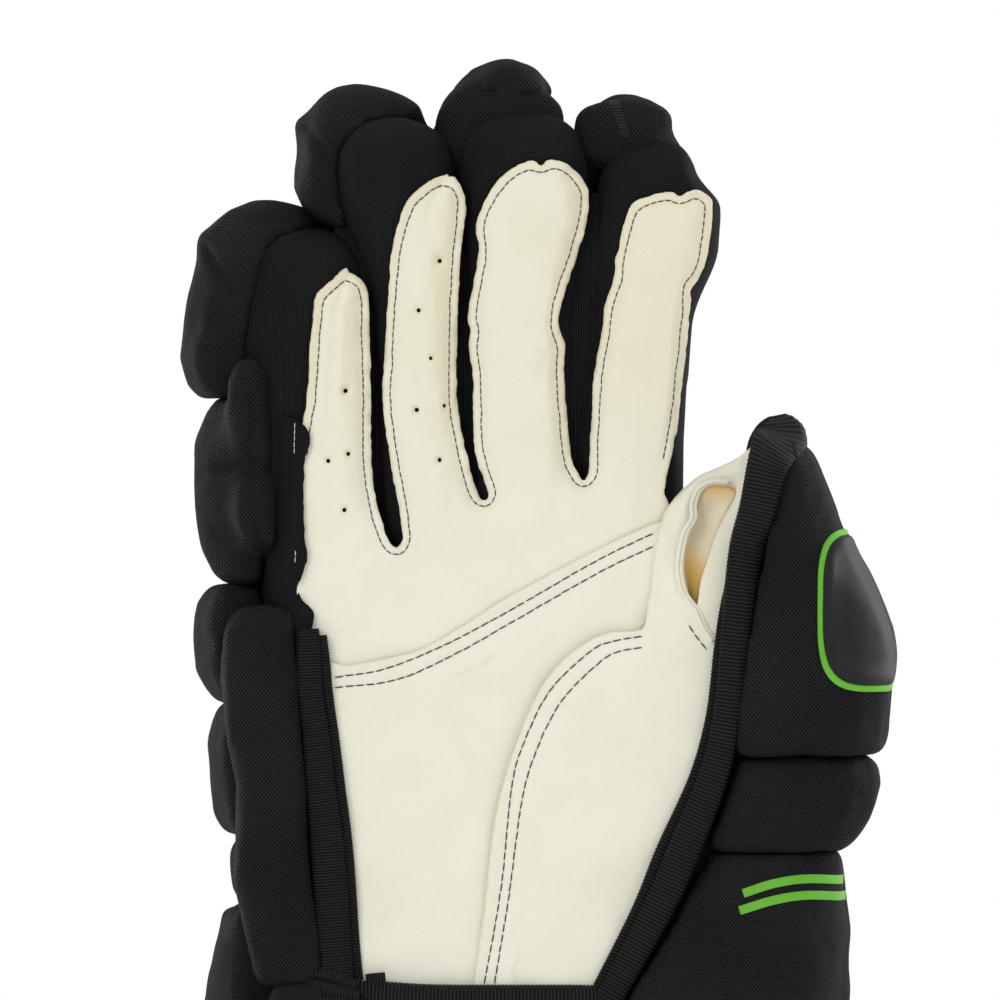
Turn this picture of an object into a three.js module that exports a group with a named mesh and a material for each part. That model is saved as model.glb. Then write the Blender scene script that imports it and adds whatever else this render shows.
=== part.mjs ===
// Right-hand ice hockey glove, standing on its cuff with the fingers up.
// Millimetres, +Z up, palm towards -Y, thumb towards +X, back of the hand towards +Y.

import * as THREE from 'three';
import { mergeVertices } from 'three/addons/utils/BufferGeometryUtils.js';

// Driving dimensions.
const GLOVE_LENGTH = 356;
const GAP = 0.4;
const SUEDE = 1.3;
const WALL = 2;
const WRIST = 98;
const PALM_HEEL = 106;
const THUMB_ROOT = 168;
const KNUCKLES = 222;
const FINGER_PADS = 214.4;
const FINGER_BACK = 8;
const FINGER_CORNER = 12;
const HAND_CORNER = 14;
const PAD_EDGE = 0.5;
const ROLL_EDGE = 0.75;
const RIM_HEIGHT = 8;
const RIM_IN = 3.5;
const RIM_OUT = 9;

// The palm's suede lies in layers, each on the one before.
const PALM_FACE = -19;
const LAYER = SUEDE + GAP;

// The front of the cuff's mouth is scooped out below the wrist.
const SCOOP = 34;
const SCOOP_CENTRE = -16;
const SCOOP_HALF = 29;

// The fingers curl towards the palm and the palm is cupped across.
const CURL = 14;
const CURL_FROM = 200;
const CUP = 0.0012;

// A section's flat sides take up the angles where the sine or cosine is under a third.
const FLAT = 3;
const LONGEST_EDGE = 36;
const COARSE = [0, 25, 50, 70.5];
const FINE = [0, 24, 48, 70.5, 77, 83.6];
const FINEST = [0, 24, 48, 70.5, 74, 77.3, 80.5, 83.7, 86.8];

const FINISH = {
  suede: { color: 0xe9e7d0, roughness: 0.92 },
  mesh: { color: 0x16171a, roughness: 0.85 },
  knit: { color: 0x121316, roughness: 0.7 },
  tape: { color: 0x1a1b1d, roughness: 0.6 },
  smooth: { color: 0x1c1c1e, roughness: 0.8 },
  badge: { color: 0x2b2d30, roughness: 0.45 },
};

const radians = (degrees) => (degrees * Math.PI) / 180;
const mix = (from, to, share) => from + (to - from) * share;
const clamp = (value) => Math.max(-1, Math.min(1, value));
const smooth = (share) => share * share * (3 - 2 * share);

function table(names, rows) {
  return rows.map((row) => Object.fromEntries(names.map((name, i) => [name, row[i]])));
}

// A section is a round-cornered oblong at one height.
function sections(rows) {
  return table(['z', 'left', 'right', 'front', 'back', 'corner'], rows);
}

function at(rows, z) {
  const last = rows.length - 1;
  if (z <= rows[0].z) return rows[0];
  if (z >= rows[last].z) return rows[last];
  const i = rows.findIndex((row) => row.z >= z);
  const low = rows[i - 1];
  const high = rows[i];
  const share = (z - low.z) / (high.z - low.z);
  return Object.fromEntries(Object.keys(low).map((key) => [key, mix(low[key], high[key], share)]));
}

// Angles all round a section, from the +X side towards the back, closer together on flat sides.
function fullTurn(quarter) {
  const half = [...quarter, 90, ...quarter.slice(1).reverse().map((step) => 180 - step)];
  return [...half, ...half.map((step) => step + 180)].map(radians);
}

// The point of a section at an angle, moved out from it by some distance.
function edgePoint(rows, z, angle, out = 0) {
  const s = at(rows, z);
  const halfWidth = (s.right - s.left) / 2;
  const halfDepth = (s.back - s.front) / 2;
  const r = Math.min(s.corner, halfWidth, halfDepth);
  const c = Math.cos(angle);
  const n = Math.sin(angle);
  const x = (s.left + s.right) / 2 + (halfWidth - r) * clamp(FLAT * c) + (r + out) * c;
  const y = (s.front + s.back) / 2 + (halfDepth - r) * clamp(FLAT * n) + (r + out) * n;
  return new THREE.Vector3(x, y, z);
}

// The angle, in degrees, at which the back or the front of a section has a given x.
function backAngle(rows, z, x) {
  const s = at(rows, z);
  const halfWidth = (s.right - s.left) / 2;
  const r = Math.min(s.corner, halfWidth, (s.back - s.front) / 2);
  const cosine = clamp((x - (s.left + s.right) / 2) / (FLAT * (halfWidth - r) + r));
  return THREE.MathUtils.radToDeg(Math.acos(cosine));
}

function frontAngle(rows, z, x) {
  return -backAngle(rows, z, x);
}

// A table goes on upwards into a dome that closes at the top point.
function domed(rows, top) {
  const last = rows[rows.length - 1];
  const domeRow = (share) => {
    const keep = Math.max(Math.sqrt(1 - share * share), 0.04);
    return {
      z: mix(last.z, top.z, share),
      left: mix(top.x, last.left, keep),
      right: mix(top.x, last.right, keep),
      front: mix(top.y, last.front, keep),
      back: mix(top.y, last.back, keep),
      corner: last.corner * keep,
    };
  };
  return [...rows, ...[0.5, 0.84, 1].map(domeRow)];
}

// The same table a wall's thickness further in.
function inset(rows, wall) {
  const base = rows[0].z;
  const height = rows[rows.length - 1].z - base;
  const squeeze = (height - wall) / height;
  return rows.map((row) => {
    const halfWidth = Math.max((row.right - row.left) / 2 - wall, 0.3);
    const halfDepth = Math.max((row.back - row.front) / 2 - wall, 0.3);
    const x = (row.left + row.right) / 2;
    const y = (row.front + row.back) / 2;
    return {
      z: base + (row.z - base) * squeeze,
      left: x - halfWidth,
      right: x + halfWidth,
      front: y - halfDepth,
      back: y + halfDepth,
      corner: Math.max(row.corner - wall, 0.3),
    };
  });
}

// Heights from low to high that take in every row of the tables between them.
function stations(low, high, steps, ...tables) {
  const even = Array.from({ length: steps + 1 }, (_, i) => mix(low, high, i / steps));
  const kinks = tables.flat().map((row) => row.z).filter((z) => z > low + 0.5 && z < high - 0.5);
  const apart = even.filter((z) => z === low || z === high || kinks.every((k) => Math.abs(k - z) > 2.5));
  return [...new Set([...apart, ...kinks])].sort((a, b) => a - b);
}

function geometryOf(points, faces) {
  const geometry = new THREE.BufferGeometry().setFromPoints(points);
  geometry.setIndex(faces);
  return geometry;
}

// Skins rings of equal length that turn anticlockwise seen from above, with a flat cap at each end.
function skin(rings, capFaces) {
  const count = rings[0].length;
  const faces = [];
  for (let i = 0; i + 1 < rings.length; i += 1) {
    for (let j = 0; j < count; j += 1) {
      const a = i * count + j;
      const b = i * count + ((j + 1) % count);
      faces.push(a, b, b + count, a, b + count, a + count);
    }
  }
  const topStart = (rings.length - 1) * count;
  for (const [a, b, c] of capFaces(count)) {
    faces.push(topStart + a, topStart + b, topStart + c);
    faces.push(a, c, b);
  }
  return geometryOf(rings.flat(), faces);
}

// The cap of a section whose second half runs back along its first half.
function stripCap(count) {
  const faces = [];
  for (let i = 0; i + 1 < count / 2; i += 1) {
    const back = count - 1 - i;
    faces.push([i, i + 1, back - 1], [i, back - 1, back]);
  }
  return faces;
}

function fanCap(count) {
  return Array.from({ length: count - 2 }, (_, i) => [0, i + 1, i + 2]);
}

// A hollow tube that is open below and closed by a dome above.
function thimble(rows, wall) {
  const angles = fullTurn(COARSE);
  const count = angles.length;
  const ring = (host) => (row) => angles.map((angle) => edgePoint(host, row.z, angle));
  const inner = inset(rows, wall);
  const outerRings = rows.map(ring(rows));
  const innerRings = inner.map(ring(inner));
  const faces = [];
  const sideFaces = (start, rings, turned) => {
    for (let i = 0; i + 1 < rings; i += 1) {
      for (let j = 0; j < count; j += 1) {
        const a = start + i * count + j;
        const b = start + i * count + ((j + 1) % count);
        const quad = [a, b, b + count, a, b + count, a + count];
        faces.push(...(turned ? quad.reverse() : quad));
      }
    }
    for (const triangle of fanCap(count)) {
      const top = triangle.map((k) => start + (rings - 1) * count + k);
      faces.push(...(turned ? top.reverse() : top));
    }
  };
  const innerStart = rows.length * count;
  sideFaces(0, rows.length, false);
  sideFaces(innerStart, inner.length, true);
  for (let j = 0; j < count; j += 1) {
    const next = (j + 1) % count;
    faces.push(j, innerStart + j, innerStart + next, j, innerStart + next, next);
  }
  return geometryOf([...outerRings, ...innerRings].flat(), faces);
}

// For each height, the angles from one end to the other. Between the ends they keep to the same
// corners of the host at every height, unless the whole span is stretched.
function spans(heights, ends, quarter, stretched = false) {
  const pairs = heights.map((z) => ends(z).map(radians));
  const highestStart = Math.max(...pairs.map(([from]) => from));
  const lowestEnd = Math.min(...pairs.map(([, to]) => to));
  const turn = fullTurn(quarter);
  const slack = radians(0.3);
  const corners = [...turn.map((angle) => angle - 2 * Math.PI), ...turn];
  if (!stretched) {
    const kept = corners.filter((angle) => angle > highestStart + slack && angle < lowestEnd - slack);
    return pairs.map(([from, to]) => [from, ...kept, to]);
  }
  const [first, last] = pairs[0];
  const kept = corners.filter((angle) => angle > first + slack && angle < last - slack);
  const shares = [first, ...kept, last].map((angle) => (angle - first) / (last - first));
  return pairs.map(([from, to]) => shares.map((share) => mix(from, to, share)));
}

// How far a pad stands out across it, from its thin edge to its full thickness.
function puff(share, edge) {
  return mix(edge, 1, Math.pow(1 - Math.pow(Math.abs(2 * share - 1), 2.6), 0.6));
}

// A pad lies on a host section from one angle to another. Its outer face goes out to a thickness,
// or to the sections of an outer table, and its edges are thin.
class Pad {
  constructor(spec) {
    const edge = spec.edge ?? PAD_EDGE;
    this.spec = { quarter: COARSE, steps: 5, openTop: false, gap: GAP, ends: edge, ...spec, edge };
  }

  span(z) {
    const { from, to } = this.spec;
    return [from, to].map((end) => (typeof end === 'function' ? end(z) : end));
  }

  outer(z, angle) {
    const { host, low, high, thick, cover, openTop, gap, edge, ends } = this.spec;
    const [from, to] = this.span(z).map(radians);
    const across = puff(clamp((angle - from) / (to - from)), edge);
    const up = (z - low) / (high - low);
    const along = openTop ? puff(Math.min(up * 2, 0.5), ends) : puff(up, ends);
    const near = edgePoint(host, z, angle, gap);
    const far = cover ? edgePoint(cover, z, angle) : edgePoint(host, z, angle, gap + thick);
    return near.lerp(far, across * along);
  }

  geometry() {
    const { host, cover, low, high, steps, quarter, openTop, gap } = this.spec;
    const heights = stations(low, high, steps, host, cover ?? []);
    const angles = spans(heights, (z) => this.span(z), quarter, openTop);
    const rings = heights.map((z, i) => {
      const outside = angles[i].map((angle) => this.outer(z, angle));
      const inside = angles[i].map((angle) => edgePoint(host, z, angle, gap)).reverse();
      return [...outside, ...inside];
    });
    return skin(rings, stripCap);
  }
}

// An open-fronted wall on a host, from one angle round the back to another.
function wallRound(host, low, high, from, to) {
  const heights = stations(low, high, 3, host);
  const angles = spans(heights, (z) => [from(z), to(z)], FINE);
  const rings = heights.map((z, i) => {
    const outside = angles[i].map((angle) => edgePoint(host, z, angle));
    const inside = angles[i].map((angle) => edgePoint(host, z, angle, -WALL)).reverse();
    return [...outside, ...inside];
  });
  return skin(rings, stripCap);
}

// A ring on a host between two distances from it. Its front is scooped upwards.
function hoop(host, low, high, within, beyond) {
  const angles = fullTurn(FINEST);
  const heights = stations(low, high, 1, host);
  const inwards = [...heights].reverse();
  const corners = [...heights.map((z) => [z, beyond]), ...inwards.map((z) => [z, within])];
  const count = angles.length;
  const points = [];
  for (const [z, out] of corners) {
    for (const angle of angles) {
      const point = edgePoint(host, z, angle, out);
      const near = Math.max(0, 1 - Math.abs(point.x - SCOOP_CENTRE) / SCOOP_HALF);
      const lift = Math.sin(angle) < 0 ? SCOOP * smooth(Math.min(1, 1.5 * near)) * (1 - z / WRIST) : 0;
      points.push(point.setZ(z + lift));
    }
  }
  const faces = [];
  for (let i = 0; i < corners.length; i += 1) {
    const above = (i + 1) % corners.length;
    for (let j = 0; j < count; j += 1) {
      const next = (j + 1) % count;
      faces.push(i * count + j, i * count + next, above * count + next);
      faces.push(i * count + j, above * count + next, above * count + j);
    }
  }
  return geometryOf(points, faces);
}

// A sheet of suede with an outline in x and z, lying at one depth.
function sheet(outline, layer, hole) {
  const shape = new THREE.Shape(outline.map(([x, z]) => new THREE.Vector2(x, z)));
  if (hole) shape.holes.push(new THREE.Path(hole.map(([x, z]) => new THREE.Vector2(x, z))));
  const flat = new THREE.ExtrudeGeometry(shape, { depth: SUEDE, bevelEnabled: false });
  flat.rotateX(Math.PI / 2);
  flat.translate(0, PALM_FACE - GAP - layer * LAYER, 0);
  flat.deleteAttribute('normal');
  flat.deleteAttribute('uv');
  return mergeVertices(flat, 1e-4);
}

// A soft bar through a table of centres, with a rounded section that keeps to its own side.
function bar(rows, halfWidth, halfDepth, sides = 8) {
  const points = table(['x', 'y', 'z'], rows).map((row) => new THREE.Vector3(row.x, row.y, row.z));
  const ahead = (i) => points[Math.min(i + 1, points.length - 1)];
  const behind = (i) => points[Math.max(i - 1, 0)];
  const rings = points.map((centre, i) => {
    const along = ahead(i).clone().sub(behind(i)).normalize();
    const across = new THREE.Vector3(0, 1, 0).cross(along).normalize();
    return Array.from({ length: sides }, (_, k) => {
      const angle = radians((360 * (k + 0.5)) / sides);
      const squared = 1 / Math.max(Math.abs(Math.cos(angle)), Math.abs(Math.sin(angle))) ** 0.5;
      const point = centre.clone().addScaledVector(across, halfWidth * squared * 0.94 * Math.cos(angle));
      return point.setY(point.y + halfDepth * squared * 0.94 * Math.sin(angle));
    });
  });
  return skin(rings, fanCap);
}

// Splits every edge that is longer than the limit, so that a flat face can be bent.
function divided(geometry) {
  const position = geometry.attributes.position;
  const points = Array.from({ length: position.count }, (_, i) =>
    new THREE.Vector3().fromBufferAttribute(position, i));
  let faces = [];
  for (let i = 0; i < geometry.index.count; i += 3) {
    faces.push([0, 1, 2].map((k) => geometry.index.getX(i + k)));
  }
  let found = true;
  while (found) {
    const middles = new Map();
    const middle = (a, b) => {
      if (points[a].distanceTo(points[b]) <= LONGEST_EDGE) return -1;
      const key = a < b ? `${a} ${b}` : `${b} ${a}`;
      if (!middles.has(key)) middles.set(key, points.push(points[a].clone().lerp(points[b], 0.5)) - 1);
      return middles.get(key);
    };
    faces = faces.flatMap((face) => splitFace(face, middle, points));
    found = middles.size > 0;
  }
  return geometryOf(points, faces.flat());
}

// A face is cut at the middle of its longest edge first, and its halves at any other long edge.
function splitFace([a, b, c], middle, points) {
  const turns = [[a, b, c], [b, c, a], [c, a, b]];
  const length = ([p, q]) => points[p].distanceTo(points[q]);
  const [p, q, r] = turns.reduce((best, turn) => (length(turn) > length(best) ? turn : best));
  const half = middle(p, q);
  if (half < 0) return [[a, b, c]];
  const cutAt = (face, from, to, far) => {
    const m = middle(from, to);
    return m < 0 ? [face] : [[from, m, far], [m, to, far]];
  };
  return [...cutAt([half, q, r], q, r, half), ...cutAt([half, r, p], r, p, half)];
}

function bent(geometry) {
  const position = geometry.attributes.position;
  for (let i = 0; i < position.count; i += 1) {
    const x = position.getX(i);
    const reach = Math.max(0, position.getZ(i) - CURL_FROM) / (GLOVE_LENGTH - CURL_FROM);
    position.setY(i, position.getY(i) - CURL * reach * reach - CUP * x * x);
  }
  geometry.computeVertexNormals();
  return geometry;
}

const glove = new THREE.Group();

function add(name, finish, geometry) {
  const material = new THREE.MeshStandardMaterial({ ...FINISH[finish], metalness: 0 });
  const piece = new THREE.Mesh(bent(divided(geometry)), material);
  piece.name = name;
  glove.add(piece);
}

// The hand from the cuff's mouth to the root of the thumb, and from there to the knuckles.
const HAND = sections([
  [0, -81, 79, -37, 41, 26],
  [55, -75, 75, -29, 34, 20],
  [WRIST, -70, 69, -19.5, 25, HAND_CORNER],
  [125, -70, 71, PALM_FACE, 22, HAND_CORNER],
  [150, -71, 76, PALM_FACE, 20, HAND_CORNER],
  [THUMB_ROOT, -72, 82, PALM_FACE, 18, HAND_CORNER],
]);
const METACARPALS = sections([
  [THUMB_ROOT, -72, 44, PALM_FACE, 18, HAND_CORNER],
  [200, -75, 43.5, PALM_FACE, 14.5, HAND_CORNER],
  [FINGER_PADS - 0.8, -76, 41, PALM_FACE, 12, HAND_CORNER],
  [FINGER_PADS, -75, 39.4, PALM_FACE, FINGER_BACK - 6, HAND_CORNER],
  [KNUCKLES, -75, 39.4, PALM_FACE, FINGER_BACK - 6, HAND_CORNER],
]);

// What the rolls of the back lie on: the hand without its thumb.
const BACK_RIGHT = 48;
const BACK_CLEAR = 0.7;
const BACK = [WRIST, 125, 150, THUMB_ROOT, 200, FINGER_PADS - 0.8].map((z) => {
  const row = at(z < THUMB_ROOT ? HAND : METACARPALS, z);
  return { ...row, right: BACK_RIGHT, front: row.front - BACK_CLEAR, back: row.back + BACK_CLEAR };
});

// Each finger's knit stall, the cap of its tip pad, and where its pads begin and end.
const STALL_FOOT = KNUCKLES + GAP;
const FINGERS = {
  pinky: {
    rows: [
      [STALL_FOOT, -76, -43, PALM_FACE, FINGER_BACK, FINGER_CORNER],
      [245, -77, -45.3, PALM_FACE, FINGER_BACK, FINGER_CORNER],
      [270, -79, -46, PALM_FACE, FINGER_BACK, FINGER_CORNER],
      [288, -80, -47.5, PALM_FACE, FINGER_BACK, FINGER_CORNER],
      [297, -77, -49, -18.5, 7, 11],
    ],
    top: { x: -61, y: -6, z: 310.5 },
    cap: [
      [266, -97, -50, -19, 25, 14],
      [276, -98, -49, -19, 27, 15],
      [292, -95, -49.5, -18, 27, 15],
      [303, -92, -50, -16, 25, 14],
    ],
    capTop: { x: -76, y: 4, z: 317.5 },
    capSpan: [58, 222],
    capOpen: 204,
    capWrapFrom: 277,
    joints: [FINGER_PADS, 265],
    wrap: [52, 206],
  },
  ring: {
    rows: [
      [STALL_FOOT, -42, -16.8, PALM_FACE, FINGER_BACK, FINGER_CORNER],
      [245, -42, -18.8, PALM_FACE, FINGER_BACK, FINGER_CORNER],
      [270, -43.2, -21, PALM_FACE, FINGER_BACK, FINGER_CORNER],
      [298, -45.5, -21.5, PALM_FACE, FINGER_BACK, FINGER_CORNER],
      [314, -53, -22, PALM_FACE, FINGER_BACK, FINGER_CORNER],
      [327, -54.5, -24, -18.5, 7, 11],
    ],
    top: { x: -39, y: -6, z: 340.6 },
    cap: [
      [293, -47.5, -27.5, -17, 25, 13],
      [307, -48.5, -27.5, -17, 27, 14],
      [314, -62, -27.5, -17, 27, 14],
      [321, -66.5, -27.5, -16, 27, 14],
      [336, -64.5, -28, -14, 25, 14],
    ],
    capTop: { x: -50, y: 4, z: 349 },
    capSpan: [42, 205],
    joints: [FINGER_PADS, 253, 292],
    wrap: [50, 130],
  },
  middle: {
    rows: [
      [STALL_FOOT, -16, 11, PALM_FACE, FINGER_BACK, FINGER_CORNER],
      [255, -17.8, 9, PALM_FACE, FINGER_BACK, FINGER_CORNER],
      [275, -19, 8.5, PALM_FACE, FINGER_BACK, FINGER_CORNER],
      [295, -18.8, 10, PALM_FACE, FINGER_BACK, FINGER_CORNER],
      [315, -19.5, 12, PALM_FACE, FINGER_BACK, FINGER_CORNER],
      [329, -21, 11, -18.5, 7, 11],
    ],
    top: { x: -4, y: -6, z: 342.3 },
    cap: [
      [297, -26, 7, -17, 26, 13],
      [318, -26.5, 6.5, -17, 28, 14],
      [340, -26, 5.5, -14, 26, 14],
    ],
    capTop: { x: -9, y: 4, z: GLOVE_LENGTH },
    capSpan: [40, 158],
    joints: [FINGER_PADS, 255, 296],
    wrap: [50, 130],
  },
  index: {
    rows: [
      [STALL_FOOT, 11.9, 40, PALM_FACE, FINGER_BACK, FINGER_CORNER],
      [255, 12.2, 41, PALM_FACE, FINGER_BACK, FINGER_CORNER],
      [275, 13.5, 43, PALM_FACE, FINGER_BACK, FINGER_CORNER],
      [295, 15.5, 45, PALM_FACE, FINGER_BACK, FINGER_CORNER],
      [315, 17.5, 47, PALM_FACE, FINGER_BACK, FINGER_CORNER],
      [322, 18, 45.5, -18.5, 7, 11],
    ],
    top: { x: 32, y: -6, z: 334 },
    cap: [
      [292, 9.5, 47, -17, 25, 13],
      [312, 9.5, 48, -17, 27, 14],
      [331, 10, 38, -14, 25, 14],
    ],
    capTop: { x: 23, y: 4, z: 346.6 },
    capSpan: [24, 156],
    joints: [FINGER_PADS, 252, 291],
    wrap: [24, 130],
  },
};

const THUMB = {
  rows: domed(sections([
    [THUMB_ROOT + GAP, 45.5, 84, -22, 16, HAND_CORNER],
    [200, 47.5, 81.5, -22, 13, HAND_CORNER],
    [216, 50.5, 77.5, -23, 11, HAND_CORNER],
    [232, 53.6, 71.5, -24.6, 8, 11],
    [246, 55.6, 68, -27, 3, 8],
  ]), { x: 63, y: -13, z: 260 }),
};

const FINGER_PAD = 18;
const FINGER_EDGE = 0.34;
const FINGER_ENDS = 0.62;
const PAD_APART = 0.6;
const WRAP_RISE = 6;
const CAP_GAP = 0.95;
const CAP_EDGE = 0.75;
const CAP_CLOSES = 0.5;
const CAP_CLOSED = [-86, 266];
const PEAK_HALF = 0.3;

function addFinger(name, finger) {
  const rows = domed(sections(finger.rows), finger.top);
  const cap = domed(sections(finger.cap), finger.capTop);
  const wrapFrom = finger.capWrapFrom ?? finger.cap[0][0] - WRAP_RISE;
  add(`${name}_stall`, 'knit', thimble(rows, WALL));
  const [from, to] = finger.capSpan;
  const opened = finger.capOpen ?? finger.wrap[1];
  const risen = (z) => smooth(Math.min(1, Math.max(0, (z - wrapFrom) / WRAP_RISE)));
  const rise = (finger.capTop.z - finger.top.z) * CAP_CLOSES;
  const past = (z) => smooth(Math.min(1, Math.max(0, (z - finger.top.z) / rise)));
  const peak = finger.capTop;
  const tip = new Pad({
    host: [...rows, ...sections([[
      peak.z, peak.x - PEAK_HALF, peak.x + PEAK_HALF, peak.y - PEAK_HALF, peak.y + PEAK_HALF, PEAK_HALF,
    ]])],
    cover: cap,
    low: finger.cap[0][0],
    high: finger.capTop.z,
    from: (z) => mix(from, CAP_CLOSED[0], past(z)),
    to: (z) => mix(mix(opened, to, risen(z)), CAP_CLOSED[1], past(z)),
    openTop: true,
    gap: CAP_GAP,
    edge: CAP_EDGE,
    steps: 4,
  });
  add(`${name}_tip_pad`, 'mesh', tip.geometry());
  const places = finger.joints.length === 2 ? ['base'] : ['base', 'middle'];
  places.forEach((place, i) => {
    const pad = new Pad({
      host: rows,
      thick: FINGER_PAD,
      low: finger.joints[i] + PAD_APART,
      high: finger.joints[i + 1] - PAD_APART,
      from: finger.wrap[0],
      to: finger.wrap[1],
      steps: 4,
      edge: FINGER_EDGE,
      ends: FINGER_ENDS,
    });
    add(`${name}_${place}_pad`, 'mesh', pad.geometry());
  });
  return rows;
}

const hosts = {};
for (const [name, finger] of Object.entries(FINGERS)) hosts[name] = addFinger(name, finger);

// Two pads guard the outer side of the little finger, in front of its base pad.
const GUARDS = table(['name', 'low', 'high'], [
  ['pinky_side_pad', 246, 275],
  ['pinky_root_pad', 223.4, 245.2],
]);
for (const { name, low, high } of GUARDS) {
  const pad = new Pad({ host: hosts.pinky, thick: 13, low, high, from: 208, to: 237, steps: 4 });
  add(name, 'mesh', pad.geometry());
}

// The palm's bindings: the side one and the thumb one run up from the wrist one.
const SIDE_BINDING = table(['z', 'x'], [[107, -52.6], [130, -55.5], [165, -58.6], [201, -61.3]]);
const THUMB_BINDING = table(['z', 'x'], [
  [107, 20.6], [126.5, 31.3], [143, 38.8], [162.7, 47], [180, 50.2], [196.7, 52.8], [212, 54.8],
  [224, 56.6], [232, 57.6],
]);
const BINDING_HALF = 3.4;
const SIDE_HALF = 4.2;
const xAt = (rows, z) => at(rows, z).x;

// The smooth carriers of the back of the hand. Their open front is closed by the palm.
const EDGE_UNDER = 5;
const leftEnd = (rows) => (z) => 360 + frontAngle(rows, z, xAt(SIDE_BINDING, z) + SIDE_HALF + EDGE_UNDER);
const rightEnd = (rows, x) => (z) => frontAngle(rows, z, x(z));
add('hand_shell', 'smooth', wallRound(
  HAND, WRIST, THUMB_ROOT - GAP,
  rightEnd(HAND, (z) => xAt(THUMB_BINDING, z) - EDGE_UNDER), leftEnd(HAND),
));
add('knuckle_shell', 'smooth', wallRound(
  METACARPALS, THUMB_ROOT + GAP, KNUCKLES,
  rightEnd(METACARPALS, () => 27), leftEnd(METACARPALS),
));

// Rolls across the back of the hand.
const ROLLS = table(['name', 'finish', 'low', 'high', 'thick', 'left'], [
  ['knuckle_roll', 'mesh', 183, 213.2, 19, 202],
  ['back_roll', 'mesh', 147, 182, 18, 202],
  ['wrist_roll', 'smooth', 127.5, 146, 13, 202],
]);
for (const roll of ROLLS) {
  const pad = new Pad({
    host: BACK,
    thick: roll.thick,
    low: roll.low,
    high: roll.high,
    from: 72,
    to: roll.left,
    quarter: FINE,
    steps: 4,
    edge: ROLL_EDGE,
  });
  add(roll.name, roll.finish, pad.geometry());
}
const thumbBack = new Pad({
  host: HAND,
  thick: 15,
  low: 146.5,
  high: THUMB_ROOT - GAP,
  from: 17,
  to: (z) => backAngle(HAND, z, 42),
  quarter: FINE,
  steps: 3,
});
add('thumb_back_pad', 'mesh', thumbBack.geometry());

// The pads of the hand's two sides start beside the palm's bindings.
const pastSide = (rows) => (z) => 360 + frontAngle(rows, z, xAt(SIDE_BINDING, z) - SIDE_HALF - GAP);
const PAD_LEAN = 2.1;
const THUMB_EDGE = 0.65;
const THUMB_MIDDLE = -91;
const pastThumb = (rows) => (z) => frontAngle(rows, z, xAt(THUMB_BINDING, z) + BINDING_HALF + PAD_LEAN);
add('side_roll', 'mesh', new Pad({
  host: BACK,
  thick: 14,
  low: PALM_HEEL + PAD_APART,
  high: 208,
  from: 205,
  to: pastSide(BACK),
  quarter: FINE,
  steps: 6,
}).geometry());
add('thumb_base_roll', 'mesh', new Pad({
  host: HAND,
  thick: 13,
  low: 143.5,
  high: THUMB_ROOT - GAP,
  from: pastThumb(HAND),
  to: 15,
  quarter: FINE,
  steps: 4,
  edge: THUMB_EDGE,
}).geometry());
add('thumb_stall', 'knit', thimble(THUMB.rows, WALL));
const thumbPad = new Pad({
  host: THUMB.rows,
  thick: 12,
  low: THUMB_ROOT + 1,
  high: 252,
  from: (z) => Math.min(pastThumb(THUMB.rows)(z), THUMB_MIDDLE),
  to: 78,
  steps: 6,
  edge: THUMB_EDGE,
});
add('thumb_pad', 'mesh', thumbPad.geometry());

// A plain raised badge on the outer front of the thumb pad.
const BADGE = { low: 188, high: 227, from: -52, to: -12, thick: 1.6 };
const badgeAngles = Array.from({ length: 5 }, (_, i) => radians(mix(BADGE.from, BADGE.to, i / 4)));
const badgeRings = stations(BADGE.low, BADGE.high, 4, THUMB.rows).map((z) => {
  const lifted = (out) => (angle) => thumbPad.outer(z, angle).add(
    new THREE.Vector3(Math.cos(angle), Math.sin(angle), 0).multiplyScalar(out));
  const outside = badgeAngles.map(lifted(GAP + BADGE.thick));
  return [...outside, ...badgeAngles.map(lifted(GAP)).reverse()];
});
add('thumb_badge', 'badge', skin(badgeRings, stripCap));

// The cuff: a liner from the wrist down, its pads and the binding of its mouth.
add('cuff_liner', 'smooth', hoop(HAND, RIM_HEIGHT + 3 * GAP, WRIST - GAP, -WALL, 0));
add('cuff_rim', 'tape', hoop(HAND, 0, RIM_HEIGHT, -RIM_IN, RIM_OUT));
const CUFF_FRONT_LEFT = -53;
const CUFF_FRONT_RIGHT = 21;
const PAD_FOOT = RIM_HEIGHT + GAP;
add('cuff_back', 'mesh', new Pad({
  host: HAND,
  thick: 20,
  low: PAD_FOOT,
  high: 126.5,
  from: 24,
  to: 202,
  quarter: FINE,
  steps: 5,
  edge: ROLL_EDGE,
}).geometry());
add('cuff_outer', 'mesh', new Pad({
  host: HAND,
  thick: 14,
  low: PAD_FOOT,
  high: PALM_HEEL,
  from: 205,
  to: (z) => 360 + frontAngle(HAND, z, CUFF_FRONT_LEFT),
  quarter: FINE,
  steps: 5,
}).geometry());
const cuffThumbStart = (z) => (z < PALM_HEEL ? frontAngle(HAND, z, CUFF_FRONT_RIGHT) : pastThumb(HAND)(z));
add('cuff_thumb', 'mesh', new Pad({
  host: HAND,
  thick: 12,
  low: PAD_FOOT,
  high: 142.5,
  from: cuffThumbStart,
  to: 20,
  quarter: FINE,
  steps: 6,
}).geometry());

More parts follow.
